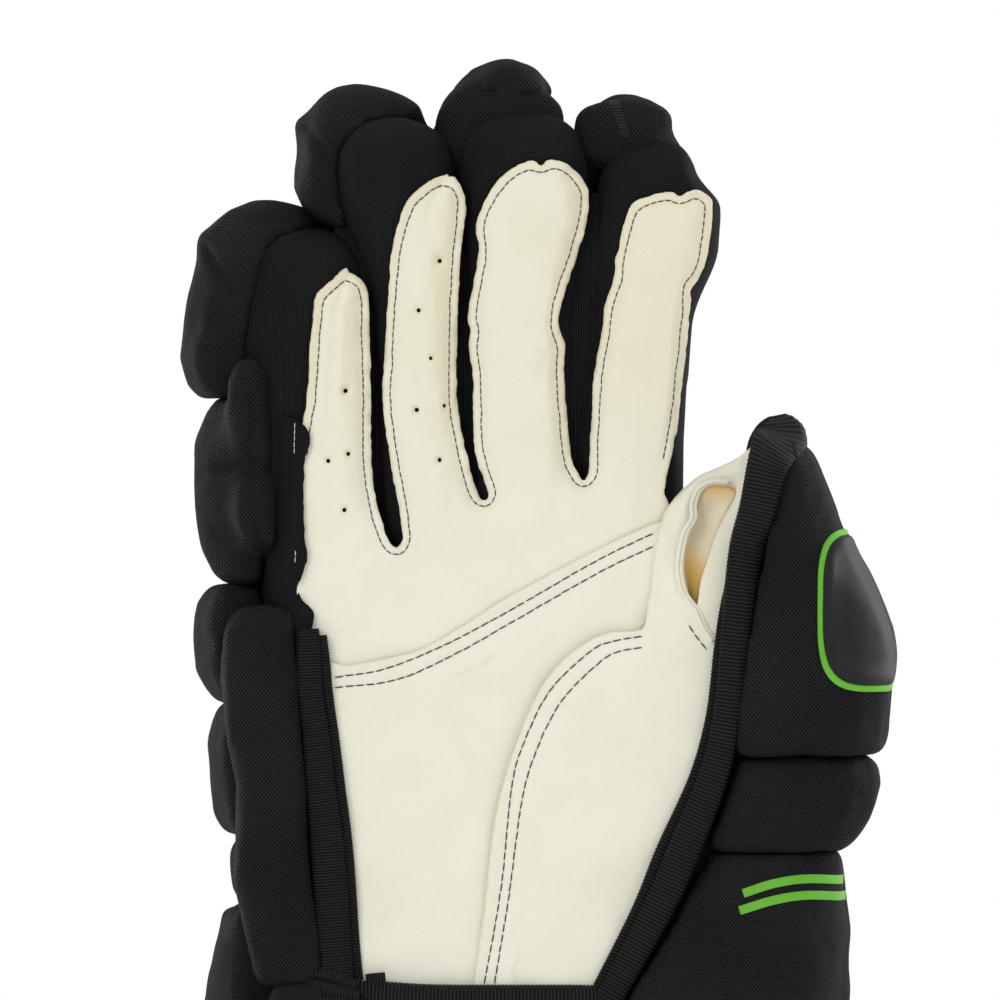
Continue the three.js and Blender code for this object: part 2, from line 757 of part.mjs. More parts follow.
// The finger fronts of the palm, a row for each height with the strip's two edges.
const STRIPS = {
  pinky: [
    [233, -64, -43.2], [252.5, -62.6, -45.4], [272, -62.1, -45.8], [291, -60, -46.4],
    [297.5, -57.5, -48], [300, -53.5, -50],
  ],
  ring: [
    [243, -39.6, -17.8], [262, -42.2, -22.3], [281, -42.2, -22.4], [296, -40.6, -22],
    [310, -37.5, -20.7], [317.5, -35, -20.2], [323, -29.5, -22.6], [324.6, -27, -24.4],
  ],
  middle: [
    [247, -16, 10], [262, -18, 7.2], [280, -18.8, 6.2], [288, -19.2, 5.4], [301, -16.8, 9], [311, -17, 12],
    [319, -14.8, 13.2], [326, -9, 8.6], [328.5, -4, 4],
  ],
  index: [
    [247, 13.2, 34.4], [262, 14.4, 37.6], [277, 15.6, 39.4], [291, 17.8, 40.6], [300, 20, 44],
    [309.5, 22, 46], [316.6, 25, 46], [319.6, 29, 42.5], [320.6, 32, 40],
  ],
};
const upLeft = (rows) => rows.map(([z, left]) => [left, z]);
const downRight = (rows) => rows.map(([z, , right]) => [right, z]).reverse();
const loop = (rows) => [...upLeft(rows), ...downRight(rows)];
const CROTCHES = [[-40.6, 224.2], [-15.6, 237.5], [11.9, 242.6]];
const PALM_LEFT = [[-56.6, 184], [-58, 201.6], [-61, 207], [-65, 213.7], [-63, 222]];

// The seams run across the palm and round the ball of the thumb.
const SEAM_ACROSS = [[-57, 192.1], [-46, 193.5], [-33, 196.4], [-11, 209.7], [16.2, 224.2], [32, 231]];
const SEAM_THUMB = [
  [-18, 106.6], [-14.9, 128.9], [-9.7, 161.6], [1.35, 188.6], [8, 196], [14, 200.5], [27.3, 204.8],
];
const SEAM_LAP = 8;
const palm = [
  ...PALM_LEFT,
  ...loop(STRIPS.pinky), CROTCHES[0],
  ...loop(STRIPS.ring), CROTCHES[1],
  ...loop(STRIPS.middle), CROTCHES[2],
  ...loop(STRIPS.index),
  [35, 241.5], [41, 245], [49, 247], [53, 246],
  [52.5, 236], [50, 224], [46.5, 210], [45, 203], [34, 203], [25, 212],
  ...SEAM_ACROSS.slice(1, -1).map(([x, z]) => [x, z - SEAM_LAP]).reverse(),
].reverse();
add('palm_suede', 'suede', sheet(palm, 0));

const bindingEdge = (rows, z, side) => xAt(rows, z) + side * GAP;
const heel = [
  ...[108, 130, 165, 191].map((z) => [bindingEdge(SIDE_BINDING, z, 1) + SIDE_HALF, z]),
  ...SEAM_ACROSS.slice(1),
  [36, 222], [33, 208],
  ...SEAM_THUMB.slice(1, -2).map(([x, z]) => [x + SEAM_LAP + 3, z - 4]).reverse(),
  [-8, 106.6],
].reverse();
add('heel_patch', 'suede', sheet(heel, 1));

// The thumb's suede goes on up its front, where a fold stands open.
const THUMB_FRONT = [
  [30, 215], [31.3, 226], [34, 234.8], [39.4, 241], [43.2, 244], [52.1, 248.2], [57.3, 252],
  [55, 246.8], [53.2, 240],
];
const thumbEdge = [230.7, 224, 212, 196.7, 180, 162.7, 143, 126.5, 107].map(
  (z) => [bindingEdge(THUMB_BINDING, z, -1) - BINDING_HALF - GAP / 2, z]);
const FOLD = [
  [43.5, 239.4], [51.5, 238.6], [48, 230.7], [44.6, 221.5], [42.4, 209.5],
  [38.6, 215], [37.6, 224], [40, 233.4],
];
const thumbSuede = [...SEAM_THUMB, ...THUMB_FRONT, ...thumbEdge].reverse();
add('thumb_suede', 'suede', sheet(thumbSuede, 2, FOLD));

// The bindings round the palm's edges.
const SIDE_DEPTH = -23;
const THUMB_DEPTH = -26.6;
const WRIST_DEPTH = -23.4;
const WRIST_BINDING_Z = 102.4;
add('side_binding', 'tape', bar(SIDE_BINDING.map(({ x, z }) => [x, SIDE_DEPTH, z]), SIDE_HALF, 3.2));
add('thumb_binding', 'tape', bar(THUMB_BINDING.map(({ x, z }) => [x, THUMB_DEPTH, z]), BINDING_HALF, 3.3));
const WRIST_LEFT = -50.5;
const WRIST_RIGHT = 17.5;
const wristBinding = bar([[0, WRIST_DEPTH, 0], [0, WRIST_DEPTH, WRIST_RIGHT - WRIST_LEFT]], 3.7, 3);
wristBinding.rotateY(Math.PI / 2);
wristBinding.translate(WRIST_LEFT, 0, WRIST_BINDING_Z);
add('wrist_binding', 'tape', wristBinding);

// The origin is under the middle of the glove's box.
const box = new THREE.Box3().setFromObject(glove, true);
const centre = box.getCenter(new THREE.Vector3());
glove.position.set(-centre.x, -centre.y, -box.min.z);
glove.updateMatrixWorld(true);

export default glove;
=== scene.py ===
"""Dresses a right-hand ice hockey glove that stands on its cuff, palm to the camera.

Tables give places in the glove's frame in millimetres: x towards the thumb, z towards the fingertips.
"""

import math

import bpy
import numpy as np
from bpy.props import FloatProperty, FloatVectorProperty, PointerProperty
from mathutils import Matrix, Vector, noise
from mathutils.bvhtree import BVHTree


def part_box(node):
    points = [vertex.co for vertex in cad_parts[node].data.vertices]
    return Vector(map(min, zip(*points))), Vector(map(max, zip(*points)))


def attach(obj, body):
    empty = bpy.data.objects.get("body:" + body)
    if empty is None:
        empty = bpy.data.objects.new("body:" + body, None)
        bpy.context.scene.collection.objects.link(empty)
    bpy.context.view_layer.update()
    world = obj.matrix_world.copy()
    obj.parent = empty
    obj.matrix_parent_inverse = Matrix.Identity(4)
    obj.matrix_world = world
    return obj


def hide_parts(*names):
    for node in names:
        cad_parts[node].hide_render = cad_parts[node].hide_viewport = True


bl_info = {
    "name": "Ice Hockey Glove",
    "version": (1, 0, 0),
    "blender": (4, 5, 0),
    "location": "3D View > Sidebar > Glove",
    "description": "Covers, knits, suede, bindings and stitches of a padded glove",
    "category": "Object",
}

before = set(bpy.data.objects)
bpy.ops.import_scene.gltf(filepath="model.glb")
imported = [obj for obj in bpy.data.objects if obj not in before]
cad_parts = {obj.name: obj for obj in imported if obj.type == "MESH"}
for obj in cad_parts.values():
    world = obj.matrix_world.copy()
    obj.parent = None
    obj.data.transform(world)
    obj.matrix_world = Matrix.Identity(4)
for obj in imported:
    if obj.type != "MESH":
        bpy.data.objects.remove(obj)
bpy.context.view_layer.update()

MM = 0.001

# The tables' zero lies where their wrist's middle and palm's back face meet the frame's.
WRIST_MIDDLE = -16.5
PALM_BACK = -20.4
WRIST_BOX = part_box("wrist_binding")
ORIGIN = np.array((
    (WRIST_BOX[0].x + WRIST_BOX[1].x) / 2 / MM - WRIST_MIDDLE,
    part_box("palm_suede")[1].y / MM - PALM_BACK,
    0.0,
))

# The palm's face: the glove curls towards the palm above the knuckles and is cupped across.
PALM_FACE = -20.0
CURL = 14.0
CURL_FROM = 200.0
CURL_SPAN = 156.0
CUP = 0.0012

# Thickness of the suede and of a layer under it, and how far thin cloth is let out to be remeshed.
LAYER = 1.5
SUEDE = 1.2
LET_OUT = 0.6

# From rib to rib of the knit and the tapes.
KNIT_PITCH = 0.68
FINE_RIBS = 0.8
BROAD_RIBS = 1.0

# From point to point of a line that is drawn through a table.
OUTLINE_STEP = 0.6
SEAM_STEP = 0.8

# The camera stands level, square to the palm, and cuts the cuff off.
VIEW_CENTRE = (-10.8, 237.2)
VIEW_WIDTH = 270.0
VIEW_DISTANCE = 2400.0


def smoothstep(value, low, high):
    share = np.clip((value - low) / (high - low), 0, 1)
    return share * share * (3 - 2 * share)


def wobble(points, scale, seed):
    """Smooth noise from -1 to 1 at each point, with the scale in millimetres."""
    return np.array([noise.noise(Vector(p) / scale + Vector((seed, 2.7 * seed, 0))) for p in points])


def flat_places(x, z):
    return np.column_stack([x, np.zeros(len(x)), z])


def palm_depth(x, z):
    """The y of the palm's face in millimetres."""
    reach = np.maximum(0, z - CURL_FROM) / CURL_SPAN
    return PALM_FACE - CURL * reach**2 - CUP * x**2


# Pieces and their meshes.


def deselect():
    bpy.ops.object.select_all(action="DESELECT")


def choose(piece):
    deselect()
    piece.select_set(True)
    bpy.context.view_layer.objects.active = piece


def finish_modifier(piece, kind, **settings):
    modifier = piece.modifiers.new(kind.title(), kind)
    for name, value in settings.items():
        setattr(modifier, name, value)
    choose(piece)
    bpy.ops.object.modifier_apply(modifier=modifier.name)


def remesh(piece, size):
    finish_modifier(piece, "REMESH", mode="VOXEL", voxel_size=size, adaptivity=0.0)


def relax(piece, rounds):
    """Smooths a piece without making it smaller."""
    for _ in range(rounds):
        finish_modifier(piece, "SMOOTH", factor=0.55, iterations=2)
        finish_modifier(piece, "SMOOTH", factor=-0.57, iterations=2)


def remesh_thin(piece, voxel, rounds):
    """Remeshes thin cloth, which is let out meanwhile so that no holes open in it."""
    move_points(piece, points_of(piece) + normals_of(piece) * LET_OUT)
    remesh(piece, voxel * MM)
    relax(piece, rounds)
    move_points(piece, points_of(piece) - normals_of(piece) * 0.8 * LET_OUT)


def points_of(piece):
    """The points of a piece in the tables' millimetres."""
    points = np.empty(len(piece.data.vertices) * 3)
    piece.data.vertices.foreach_get("co", points)
    return points.reshape(-1, 3) / MM - ORIGIN


def normals_of(piece):
    normals = np.empty(len(piece.data.vertices) * 3)
    piece.data.vertices.foreach_get("normal", normals)
    return normals.reshape(-1, 3)


def in_frame(points):
    """The tables' millimetres in the frame's metres."""
    return (np.asarray(points, float) + ORIGIN) * MM


def move_points(piece, points):
    piece.data.vertices.foreach_set("co", in_frame(points).ravel())
    piece.data.update()


def write_attribute(piece, name, values):
    attributes = piece.data.attributes
    attribute = attributes.get(name) or attributes.new(name, "FLOAT", "POINT")
    attribute.data.foreach_set("value", np.asarray(values, np.float32))


def face_outwards(piece):
    choose(piece)
    bpy.ops.object.mode_set(mode="EDIT")
    bpy.ops.mesh.select_all(action="SELECT")
    bpy.ops.mesh.normals_make_consistent(inside=False)
    bpy.ops.object.mode_set(mode="OBJECT")


def mesh_piece(name, points, faces):
    mesh = bpy.data.meshes.new(name)
    mesh.from_pydata([tuple(p) for p in in_frame(points)], [], [tuple(f) for f in faces])
    piece = bpy.data.objects.new(name, mesh)
    bpy.context.scene.collection.objects.link(piece)
    return piece


def tube_piece(name, points, sides):
    """A closed tube from rings of points, with its two ends."""
    rings = len(points) // sides
    faces = []
    for ring in range(rings - 1):
        for k in range(sides):
            a = ring * sides + k
            b = ring * sides + (k + 1) % sides
            faces.append((a, b, b + sides, a + sides))
    faces.append(tuple(reversed(range(sides))))
    faces.append(tuple(range((rings - 1) * sides, rings * sides)))
    piece = mesh_piece(name, points, faces)
    face_outwards(piece)
    return piece


def copy_of_node(node, name):
    """A copy of a frame node, with its loose triangles merged into one skin."""
    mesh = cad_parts[node].data.copy()
    mesh.materials.clear()
    mesh.name = name
    piece = bpy.data.objects.new(name, mesh)
    bpy.context.scene.collection.objects.link(piece)
    choose(piece)
    bpy.ops.object.mode_set(mode="EDIT")
    bpy.ops.mesh.select_all(action="SELECT")
    bpy.ops.mesh.remove_doubles(threshold=0.02 * MM)
    bpy.ops.object.mode_set(mode="OBJECT")
    return piece


def ground_of(piece):
    """A piece that others are laid on."""
    return BVHTree.FromObject(piece, bpy.context.evaluated_depsgraph_get())


def probe(ground, x, z):
    """The y of a ground seen from the palm's side, or None beside it."""
    hit = ground.ray_cast(Vector(in_frame((x, -160, z))), Vector((0, 1, 0)))[0]
    return None if hit is None else hit.y / MM - ORIGIN[1]


def rest_on(piece, others, clearance):
    """Lifts a sheet's face off whatever lies behind it."""
    grounds = [ground_of(other) for other in others]
    points = points_of(piece)
    for point in points:
        found = [probe(ground, point[0], point[2]) for ground in grounds]
        found = [y for y in found if y is not None]
        if found:
            point[1] = min(point[1], min(found) - clearance)
    move_points(piece, points)


def dress(piece, material, slot, *nodes):
    """Gives a finished piece its material and its place on the glove, and hides the nodes that it stands
    for.
    """
    piece.data.materials.clear()
    piece.data.materials.append(material)
    choose(piece)
    bpy.ops.object.shade_smooth()
    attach(piece, "root")
    if nodes:
        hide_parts(*nodes)


def curve_through(rows, step, closed=False):
    """A smooth curve through the rows of a table, with points a step apart."""
    rows = np.array(rows, float)
    if closed:
        rows = np.vstack([rows, rows[:1]])
    before = rows[-2] if closed else 2 * rows[0] - rows[1]
    after = rows[1] if closed else 2 * rows[-1] - rows[-2]
    padded = np.vstack([before, rows, after])
    curve = []
    for a, b, c, d in zip(padded, padded[1:], padded[2:], padded[3:]):
        for t in np.linspace(0, 1, 12, endpoint=False):
            straight = 2 * b + (c - a) * t
            bend = (2 * a - 5 * b + 4 * c - d) * t**2 + (3 * b - a - 3 * c + d) * t**3
            curve.append((straight + bend) / 2)
    curve.append(rows[-1])
    curve = np.array(curve)
    length = np.concatenate([[0], np.cumsum(np.linalg.norm(np.diff(curve[:, :2], axis=0), axis=1))])
    places = np.linspace(0, length[-1], max(2, round(length[-1] / step)) + 1)
    even = np.stack([np.interp(places, length, column) for column in curve.T], axis=1)
    return even[:-1] if closed else even


def nearest_on_line(points, line, closed=False):
    """For each flat point, the nearest place on a line and its distance."""
    starts = line if closed else line[:-1]
    steps = (np.roll(line, -1, axis=0) if closed else line[1:]) - starts
    lengths = np.maximum((steps**2).sum(axis=1), 1e-9)
    places = np.empty((len(points), 2))
    distances = np.empty(len(points))
    for first in range(0, len(points), 4000):
        some = points[first : first + 4000]
        offset = some[:, None, :] - starts[None]
        share = np.clip((offset * steps[None]).sum(axis=2) / lengths, 0, 1)
        gap = offset - share[:, :, None] * steps[None]
        reach = (gap**2).sum(axis=2)
        best = reach.argmin(axis=1)
        row = np.arange(len(some))
        places[first : first + 4000] = some - gap[row, best]
        distances[first : first + 4000] = np.sqrt(reach[row, best])
    return places, distances


def inside(points, outline):
    """Which flat points an outline goes round."""
    ahead = np.roll(outline, -1, axis=0)
    answer = np.zeros(len(points), bool)
    for (x0, z0), (x1, z1) in zip(outline, ahead):
        if z0 == z1:
            continue
        crosses = (points[:, 1] < z0) != (points[:, 1] < z1)
        answer ^= crosses & (points[:, 0] < x0 + (x1 - x0) * (points[:, 1] - z0) / (z1 - z0))
    return answer


# Node trees.


class Signal:
    """An output socket of a node tree. Arithmetic on it adds Math nodes."""

    def __init__(self, finish, socket):
        self.finish = finish
        self.socket = socket

    def math(self, operation, *others):
        inputs = dict(enumerate((self, *others)))
        return self.finish.node("ShaderNodeMath", {"operation": operation}, inputs)

    def __add__(self, other):
        return self.math("ADD", other)

    __radd__ = __add__

    def __mul__(self, other):
        return self.math("MULTIPLY", other)

    __rmul__ = __mul__

    def __sub__(self, other):
        return self.math("SUBTRACT", other)

    def __rsub__(self, other):
        return self * -1 + other

    def __gt__(self, other):
        return self.math("GREATER_THAN", other)

    def __abs__(self):
        return self.math("ABSOLUTE")

    def cosine(self):
        return self.math("COSINE")

    def smooth(self, low, high):
        """Rises from 0 to 1 between two values."""
        settings = {"interpolation_type": "SMOOTHSTEP"}
        inputs = {"Value": self, "From Min": low, "From Max": high}
        return self.finish.node("ShaderNodeMapRange", settings, inputs)


class Finish:
    """A material made from one Principled shader."""

    def __init__(self, name, roughness, sheen=0.0, shine=0.12):
        self.material = bpy.data.materials.new(name)
        self.material.use_nodes = True
        self.tree = self.material.node_tree
        self.shader = self.tree.nodes["Principled BSDF"]
        self.shader.inputs["Roughness"].default_value = roughness
        self.shader.inputs["Sheen Weight"].default_value = sheen
        self.shader.inputs["Sheen Roughness"].default_value = 0.6
        self.shader.inputs["Specular IOR Level"].default_value = shine
        self.place = self.node("ShaderNodeTexCoord", {}, {}, "Object")

    def node(self, kind, settings, inputs, output=0):
        made = self.tree.nodes.new(kind)
        for name, value in settings.items():
            setattr(made, name, value)
        for name, value in inputs.items():
            self.feed(made.inputs[name], value)
        return Signal(self, made.outputs[output])

    def feed(self, socket, value):
        if isinstance(value, Signal):
            self.tree.links.new(value.socket, socket)
        else:
            socket.default_value = value

    def noise(self, size, detail=2.0, roughness=0.5):
        """Noise with features of a size in millimetres."""
        inputs = {"Vector": self.place, "Scale": 1 / (size * MM), "Detail": detail, "Roughness": roughness}
        return self.node("ShaderNodeTexNoise", {}, inputs)

    def attribute(self, name):
        return self.node("ShaderNodeAttribute", {"attribute_name": name}, {}, "Fac")

    def axes(self, signal):
        """The three parts of a vector."""
        split = self.node("ShaderNodeSeparateXYZ", {}, {0: signal}).socket.node
        return [Signal(self, socket) for socket in split.outputs]

    def blend(self, factor, low, high):
        """A colour between two."""
        settings = {"data_type": "RGBA"}
        mixed = self.node("ShaderNodeMix", settings, {"Factor": factor}).socket.node
        self.feed(mixed.inputs[6], low)
        self.feed(mixed.inputs[7], high)
        return Signal(self, mixed.outputs[2])

    def bump(self, height, depth, strength):
        """A normal from a height; the depth is in millimetres."""
        inputs = {"Height": height, "Distance": depth * MM, "Strength": strength}
        return self.node("ShaderNodeBump", {}, inputs)

    def ribs(self, along, pitch):
        """Ridges from 0 to 1 across a length in millimetres."""
        return (along * (2 * math.pi / pitch)).cosine() * 0.5 + 0.5

    def use(self, **sockets):
        names = {"colour": "Base Color", "roughness": "Roughness", "normal": "Normal"}
        for name, value in sockets.items():
            self.feed(self.shader.inputs[names[name]], value)
        return self.material


def rgba(colour, gain=1.0):
    return (*[min(1.0, channel * gain) for channel in colour], 1.0)


def suede_finish(colours, name="suede"):
    """Brushed suede: short nap, faint blotches, and a warmer, darker tone near its edges and up the fingers,
    with painted shade where it turns away towards the thumb's side.
    """
    finish = Finish(name, 0.95, sheen=0.12)
    nap = finish.noise(0.35, 3.0, 0.65)
    drift = finish.noise(1.6, 3.0)
    blotch = finish.noise(24.0, 3.0, 0.55)
    warm = finish.attribute("warm")
    # warm carries painted shade where the suede turns to the thumb's side, besides the warmer tone near the
    # edges and up the fingers
    tone = finish.blend(warm, rgba(colours.suede), rgba(colours.suede_warm))
    tone = finish.blend(blotch.smooth(0.4, 0.72) * 0.3, tone, rgba(colours.suede_warm))
    soil = nap.smooth(0.35, 0.75) * 0.16 + drift.smooth(0.5, 0.8) * 0.12
    tone = finish.blend(soil, tone, rgba(colours.suede, 0.8))
    height = nap * 0.6 + drift * 0.8
    return finish.use(colour=tone, normal=finish.bump(height, 0.22, 0.55))


def mesh_finish(colours, name, across, along):
    """Knitted mesh: rows of holes in staggered order, on whichever plane the surface faces. The holes are
    near black: the black foam behind them and painted shade in them.
    """
    finish = Finish(name, 0.85)
    x, y, z = finish.axes(finish.place)
    facing = finish.node("ShaderNodeTexCoord", {}, {}, "Normal")
    side, front, top = [abs(part) for part in finish.axes(facing)]
    sideways = (side > front) * (side > top)
    upwards = (top > front) * (top > side)
    drift = (finish.noise(9.0, 1.0) - 0.5) * (0.9 * MM)
    slope = finish.attribute("slope")
    flat_column = x + sideways * (y - x)
    flat_row = z + upwards * (y - z)
    column = flat_column + flat_row * slope + drift
    row = flat_row - flat_column * slope + drift
    turns_across = (column * (2 * math.pi / (across * MM))).cosine()
    turns_along = (row * (2 * math.pi / (along * MM))).cosine()
    hole = (turns_across * turns_along).smooth(0.0, 0.5)
    fibre = finish.noise(0.3, 2.0)
    shade = finish.noise(30.0, 2.0).smooth(0.3, 0.7)
    lit = fibre.smooth(0.25, 0.75) * 0.7 + shade * 0.3
    thread = finish.blend(lit, rgba(colours.mesh, 0.9), rgba(colours.mesh, 4.2))
    # The holes: partly the black foam behind, partly painted shade.
    tone = finish.blend(hole, thread, rgba(colours.mesh, 0.05))
    height = fibre * 0.3 + (1 - hole)
    return finish.use(colour=tone, roughness=0.75 + hole * 0.2, normal=finish.bump(height, 0.45, 0.8))


def knit_finish(colours):
    """Stretch knit with fine ribs that follow the rib attribute; their ridges get painted highlight and
    their grooves painted shade.
    """
    finish = Finish("ribbed_knit", 0.75)
    wander = (finish.noise(6.0, 1.0) - 0.5) * 0.5
    ridge = finish.ribs(finish.attribute("rib") + wander, KNIT_PITCH)
    stitch = finish.noise(0.3, 2.0)
    shade = finish.noise(26.0, 2.0).smooth(0.3, 0.7)
    # Painted highlight on the ridges and painted shade in the grooves.
    lit = ridge.smooth(0.35, 1.0) * (0.45 + stitch * 0.75) + shade * 0.14
    tone = finish.blend(lit, rgba(colours.knit, 0.3), rgba(colours.knit, 4.2))
    height = ridge + stitch * 0.3
    return finish.use(colour=tone, normal=finish.bump(height, 0.26, 0.85))


def tape_finish(colours, name, pitch):
    """Woven tape: its cross ribs follow the rib attribute, with fine threads along it; the ribs get painted
    highlight and the grooves painted shade.
    """
    finish = Finish(name, 0.65, shine=0.18)
    ridge = finish.ribs(finish.attribute("rib"), pitch)
    thread = finish.noise(0.22, 2.0)
    # Painted highlight on the ribs and painted shade in the grooves.
    lit = ridge.smooth(0.1, 0.9) * (0.6 + thread * 0.4)
    tone = finish.blend(lit, rgba(colours.tape, 0.2), rgba(colours.tape, 2.6))
    height = ridge * 0.8 + thread * 0.3
    return finish.use(colour=tone, normal=finish.bump(height, 0.3, 0.7))


def smooth_finish(colours, name="brushed_cloth"):
    """Close black cloth with a faint nap."""
    finish = Finish(name, 0.85)
    nap = finish.noise(0.3, 3.0)
    shade = finish.noise(14.0, 3.0)
    tone = finish.blend(nap * 0.5 + shade * 0.35, rgba(colours.lining, 0.6), rgba(colours.lining, 1.9))
    height = nap + finish.noise(2.0, 2.0) * 0.8
    return finish.use(colour=tone, normal=finish.bump(height, 0.18, 0.5))


def rubber_finish(colour, name):
    """Moulded satin rubber with a fine grain."""
    finish = Finish(name, 0.55, shine=0.25)
    grain = finish.noise(0.5, 2.0)
    tone = finish.blend(finish.noise(8.0, 2.0), rgba(colour, 0.8), rgba(colour, 1.2))
    return finish.use(colour=tone, roughness=0.5 + grain * 0.2, normal=finish.bump(grain, 0.05, 0.5))


def thread_finish(colour, name):
    """Sewing thread: a little uneven in shade."""
    finish = Finish(name, 0.7, sheen=0.1)
    twist = finish.noise(0.25, 2.0)
    tone = finish.blend(twist, rgba(colour, 0.7), rgba(colour, 1.4))
    return finish.use(colour=tone, normal=finish.bump(twist, 0.08, 0.6))


# Sizes and colours that a user would change.


class GloveColours(bpy.types.PropertyGroup):
    """Colours of the glove's cloths."""

    suede: FloatVectorProperty(
        name="Suede", description="Palm suede", subtype="COLOR", default=(0.85, 0.832, 0.70)
    )
    # Warm suede is the tone of the blotches, the edges and the fingers, and also the colour of the painted
    # shade where the suede turns to the side.
    suede_warm: FloatVectorProperty(
        name="Warm suede", description="Palm suede where it is worn or shaded", subtype="COLOR",
        default=(0.78, 0.735, 0.545),
    )
    # The fold colour is painted shadow: a warm orange shade at the top and the foot of the fold's hollow.
    fold: FloatVectorProperty(
        name="Fold", description="Inside of the thumb's fold", subtype="COLOR", default=(1.0, 0.62, 0.17)
    )
    mesh: FloatVectorProperty(
        name="Mesh", description="Mesh cloth of the pads", subtype="COLOR", default=(0.0062, 0.0064, 0.0072)
    )
    knit: FloatVectorProperty(
        name="Knit", description="Ribbed knit of the fingers", subtype="COLOR",
        default=(0.005, 0.0051, 0.0057),
    )
    tape: FloatVectorProperty(
        name="Tape", description="Ribbed binding tape", subtype="COLOR", default=(0.0085, 0.0085, 0.0092)
    )
    lining: FloatVectorProperty(
        name="Lining", description="Smooth black cloth", subtype="COLOR", default=(0.0062, 0.0062, 0.0068)
    )
    badge: FloatVectorProperty(
        name="Badge", description="Moulded badge", subtype="COLOR", default=(0.009, 0.0095, 0.011)
    )
    accent: FloatVectorProperty(
        name="Accent", description="Green trim", subtype="COLOR", default=(0.13, 0.43, 0.035)
    )
    thread: FloatVectorProperty(
        name="Thread", description="Thread in the suede", subtype="COLOR", default=(0.055, 0.062, 0.085)
    )


class GlovePadding(bpy.types.PropertyGroup):
    """How the foam pads fill their covers."""

    voxel: FloatProperty(
        name="Voxel", description="Mesh size of a pad before it is filled", default=2.4 * MM, unit="LENGTH"
    )
    pressure: FloatProperty(name="Pressure", description="Pressure inside a pad", default=4.0, min=0.0)
    swell: FloatProperty(
        name="Swell", description="Furthest that a cover may move out", default=2.6 * MM, unit="LENGTH"
    )
    plump: FloatProperty(
        name="Plump", description="How far a cover is let out before it is filled", default=1.1 * MM,
        unit="LENGTH",
    )
    crease: FloatProperty(
        name="Crease", description="Depth of a seam sewn into a pad", default=1.5 * MM, unit="LENGTH"
    )


class GloveSewing(bpy.types.PropertyGroup):
    """Sizes of the sheets and stitches."""

    cell: FloatProperty(name="Cell", description="Mesh size of the suede", default=0.9 * MM, unit="LENGTH")
    margin: FloatProperty(
        name="Margin", description="From the suede's edge to its stitches", default=2.1 * MM, unit="LENGTH"
    )
    edge_stitch: FloatProperty(
        name="Edge stitch", description="Length of an edge stitch with its gap", default=2.0 * MM,
        unit="LENGTH",
    )
    seam_stitch: FloatProperty(
        name="Seam stitch", description="Length of a seam stitch with its gap", default=2.8 * MM,
        unit="LENGTH",
    )
    thread: FloatProperty(
        name="Thread", description="Thickness of the thread", default=0.45 * MM, unit="LENGTH"
    )


# Pads.

PADS = {
    "pinky_tip_pad": 0.8, "pinky_base_pad": 0.7,
    "ring_tip_pad": 0.8, "ring_middle_pad": 0.7, "ring_base_pad": 0.7,
    "middle_tip_pad": 0.8, "middle_middle_pad": 0.7, "middle_base_pad": 0.7,
    "index_tip_pad": 0.8, "index_middle_pad": 0.7, "index_base_pad": 0.7,
    "knuckle_roll": 0.75, "back_roll": 0.75, "thumb_back_pad": 0.7, "side_roll": 0.75,
    "thumb_base_roll": 0.75, "thumb_pad": 0.75, "cuff_back": 0.6, "cuff_outer": 0.6, "cuff_thumb": 0.6,
}
FILL_FRAMES = 20
FINE_MESH_PADS = ("cuff_back", "cuff_outer", "cuff_thumb", "thumb_base_roll")

# Seams sewn into the covers, in x and z, as seen from the palm.
SEAMS = {
    "pinky_tip_pad": [[(-91.3, 306.3), (-87.5, 300.5), (-82.4, 293.1)]],
    "ring_tip_pad": [[(-63.7, 338.2), (-60.5, 334), (-57, 329.3)]],
    "pinky_base_pad": [
        [(-96, 243), (-88, 244.5), (-80, 246.5), (-72, 245.5)],
        [(-77.5, 266), (-76.5, 256), (-77.5, 246), (-76.5, 236), (-74.5, 226), (-72, 215)],
    ],
}

# The little finger's side is padded in one length: its three solids get one cover.
SIDE_LENGTH = ("pinky_base_pad", "pinky_side_pad", "pinky_root_pad")
SIDE_JOIN = 3.2

# Corners of the caps, in x and z, and how far they stand out.
CORNERS = {"pinky_tip_pad": (-92.5, 306.8, 2.2), "ring_tip_pad": (-65.5, 338.0, 2.4)}

# How much wider than its foam a cover is.
SPREAD = {"middle_tip_pad": 1.02, "index_tip_pad": 1.06, "ring_tip_pad": 1.02}

# The side roll is broader than its foam: by how much at each height, towards the back of the hand.
ROLL_GROWTH = [(96, 1.25), (112, 1.26), (133, 1.32), (160, 1.22), (188, 1.4), (206, 1.4)]
ROLL_LEAN = 0.066
ROLL_FOOT = 104

# How far the rows of the mesh lean.
SLOPE = {"pinky_tip_pad": 0.35, "ring_tip_pad": 0.3, "thumb_pad": 0.06, "index_tip_pad": -0.1}


def one_cover(nodes, name, join):
    """One skin round several foam solids that nearly touch."""
    copies = [copy_of_node(node, f"{name}_{node}") for node in nodes]
    for copy in copies:
        remesh(copy, 2 * MM)
        move_points(copy, points_of(copy) + normals_of(copy) * join)
    choose(copies[0])
    for copy in copies:
        copy.select_set(True)
    bpy.ops.object.join()
    piece = bpy.context.active_object
    piece.name = name
    remesh(piece, 2 * MM)
    relax(piece, 2)
    move_points(piece, points_of(piece) - normals_of(piece) * join)
    return piece


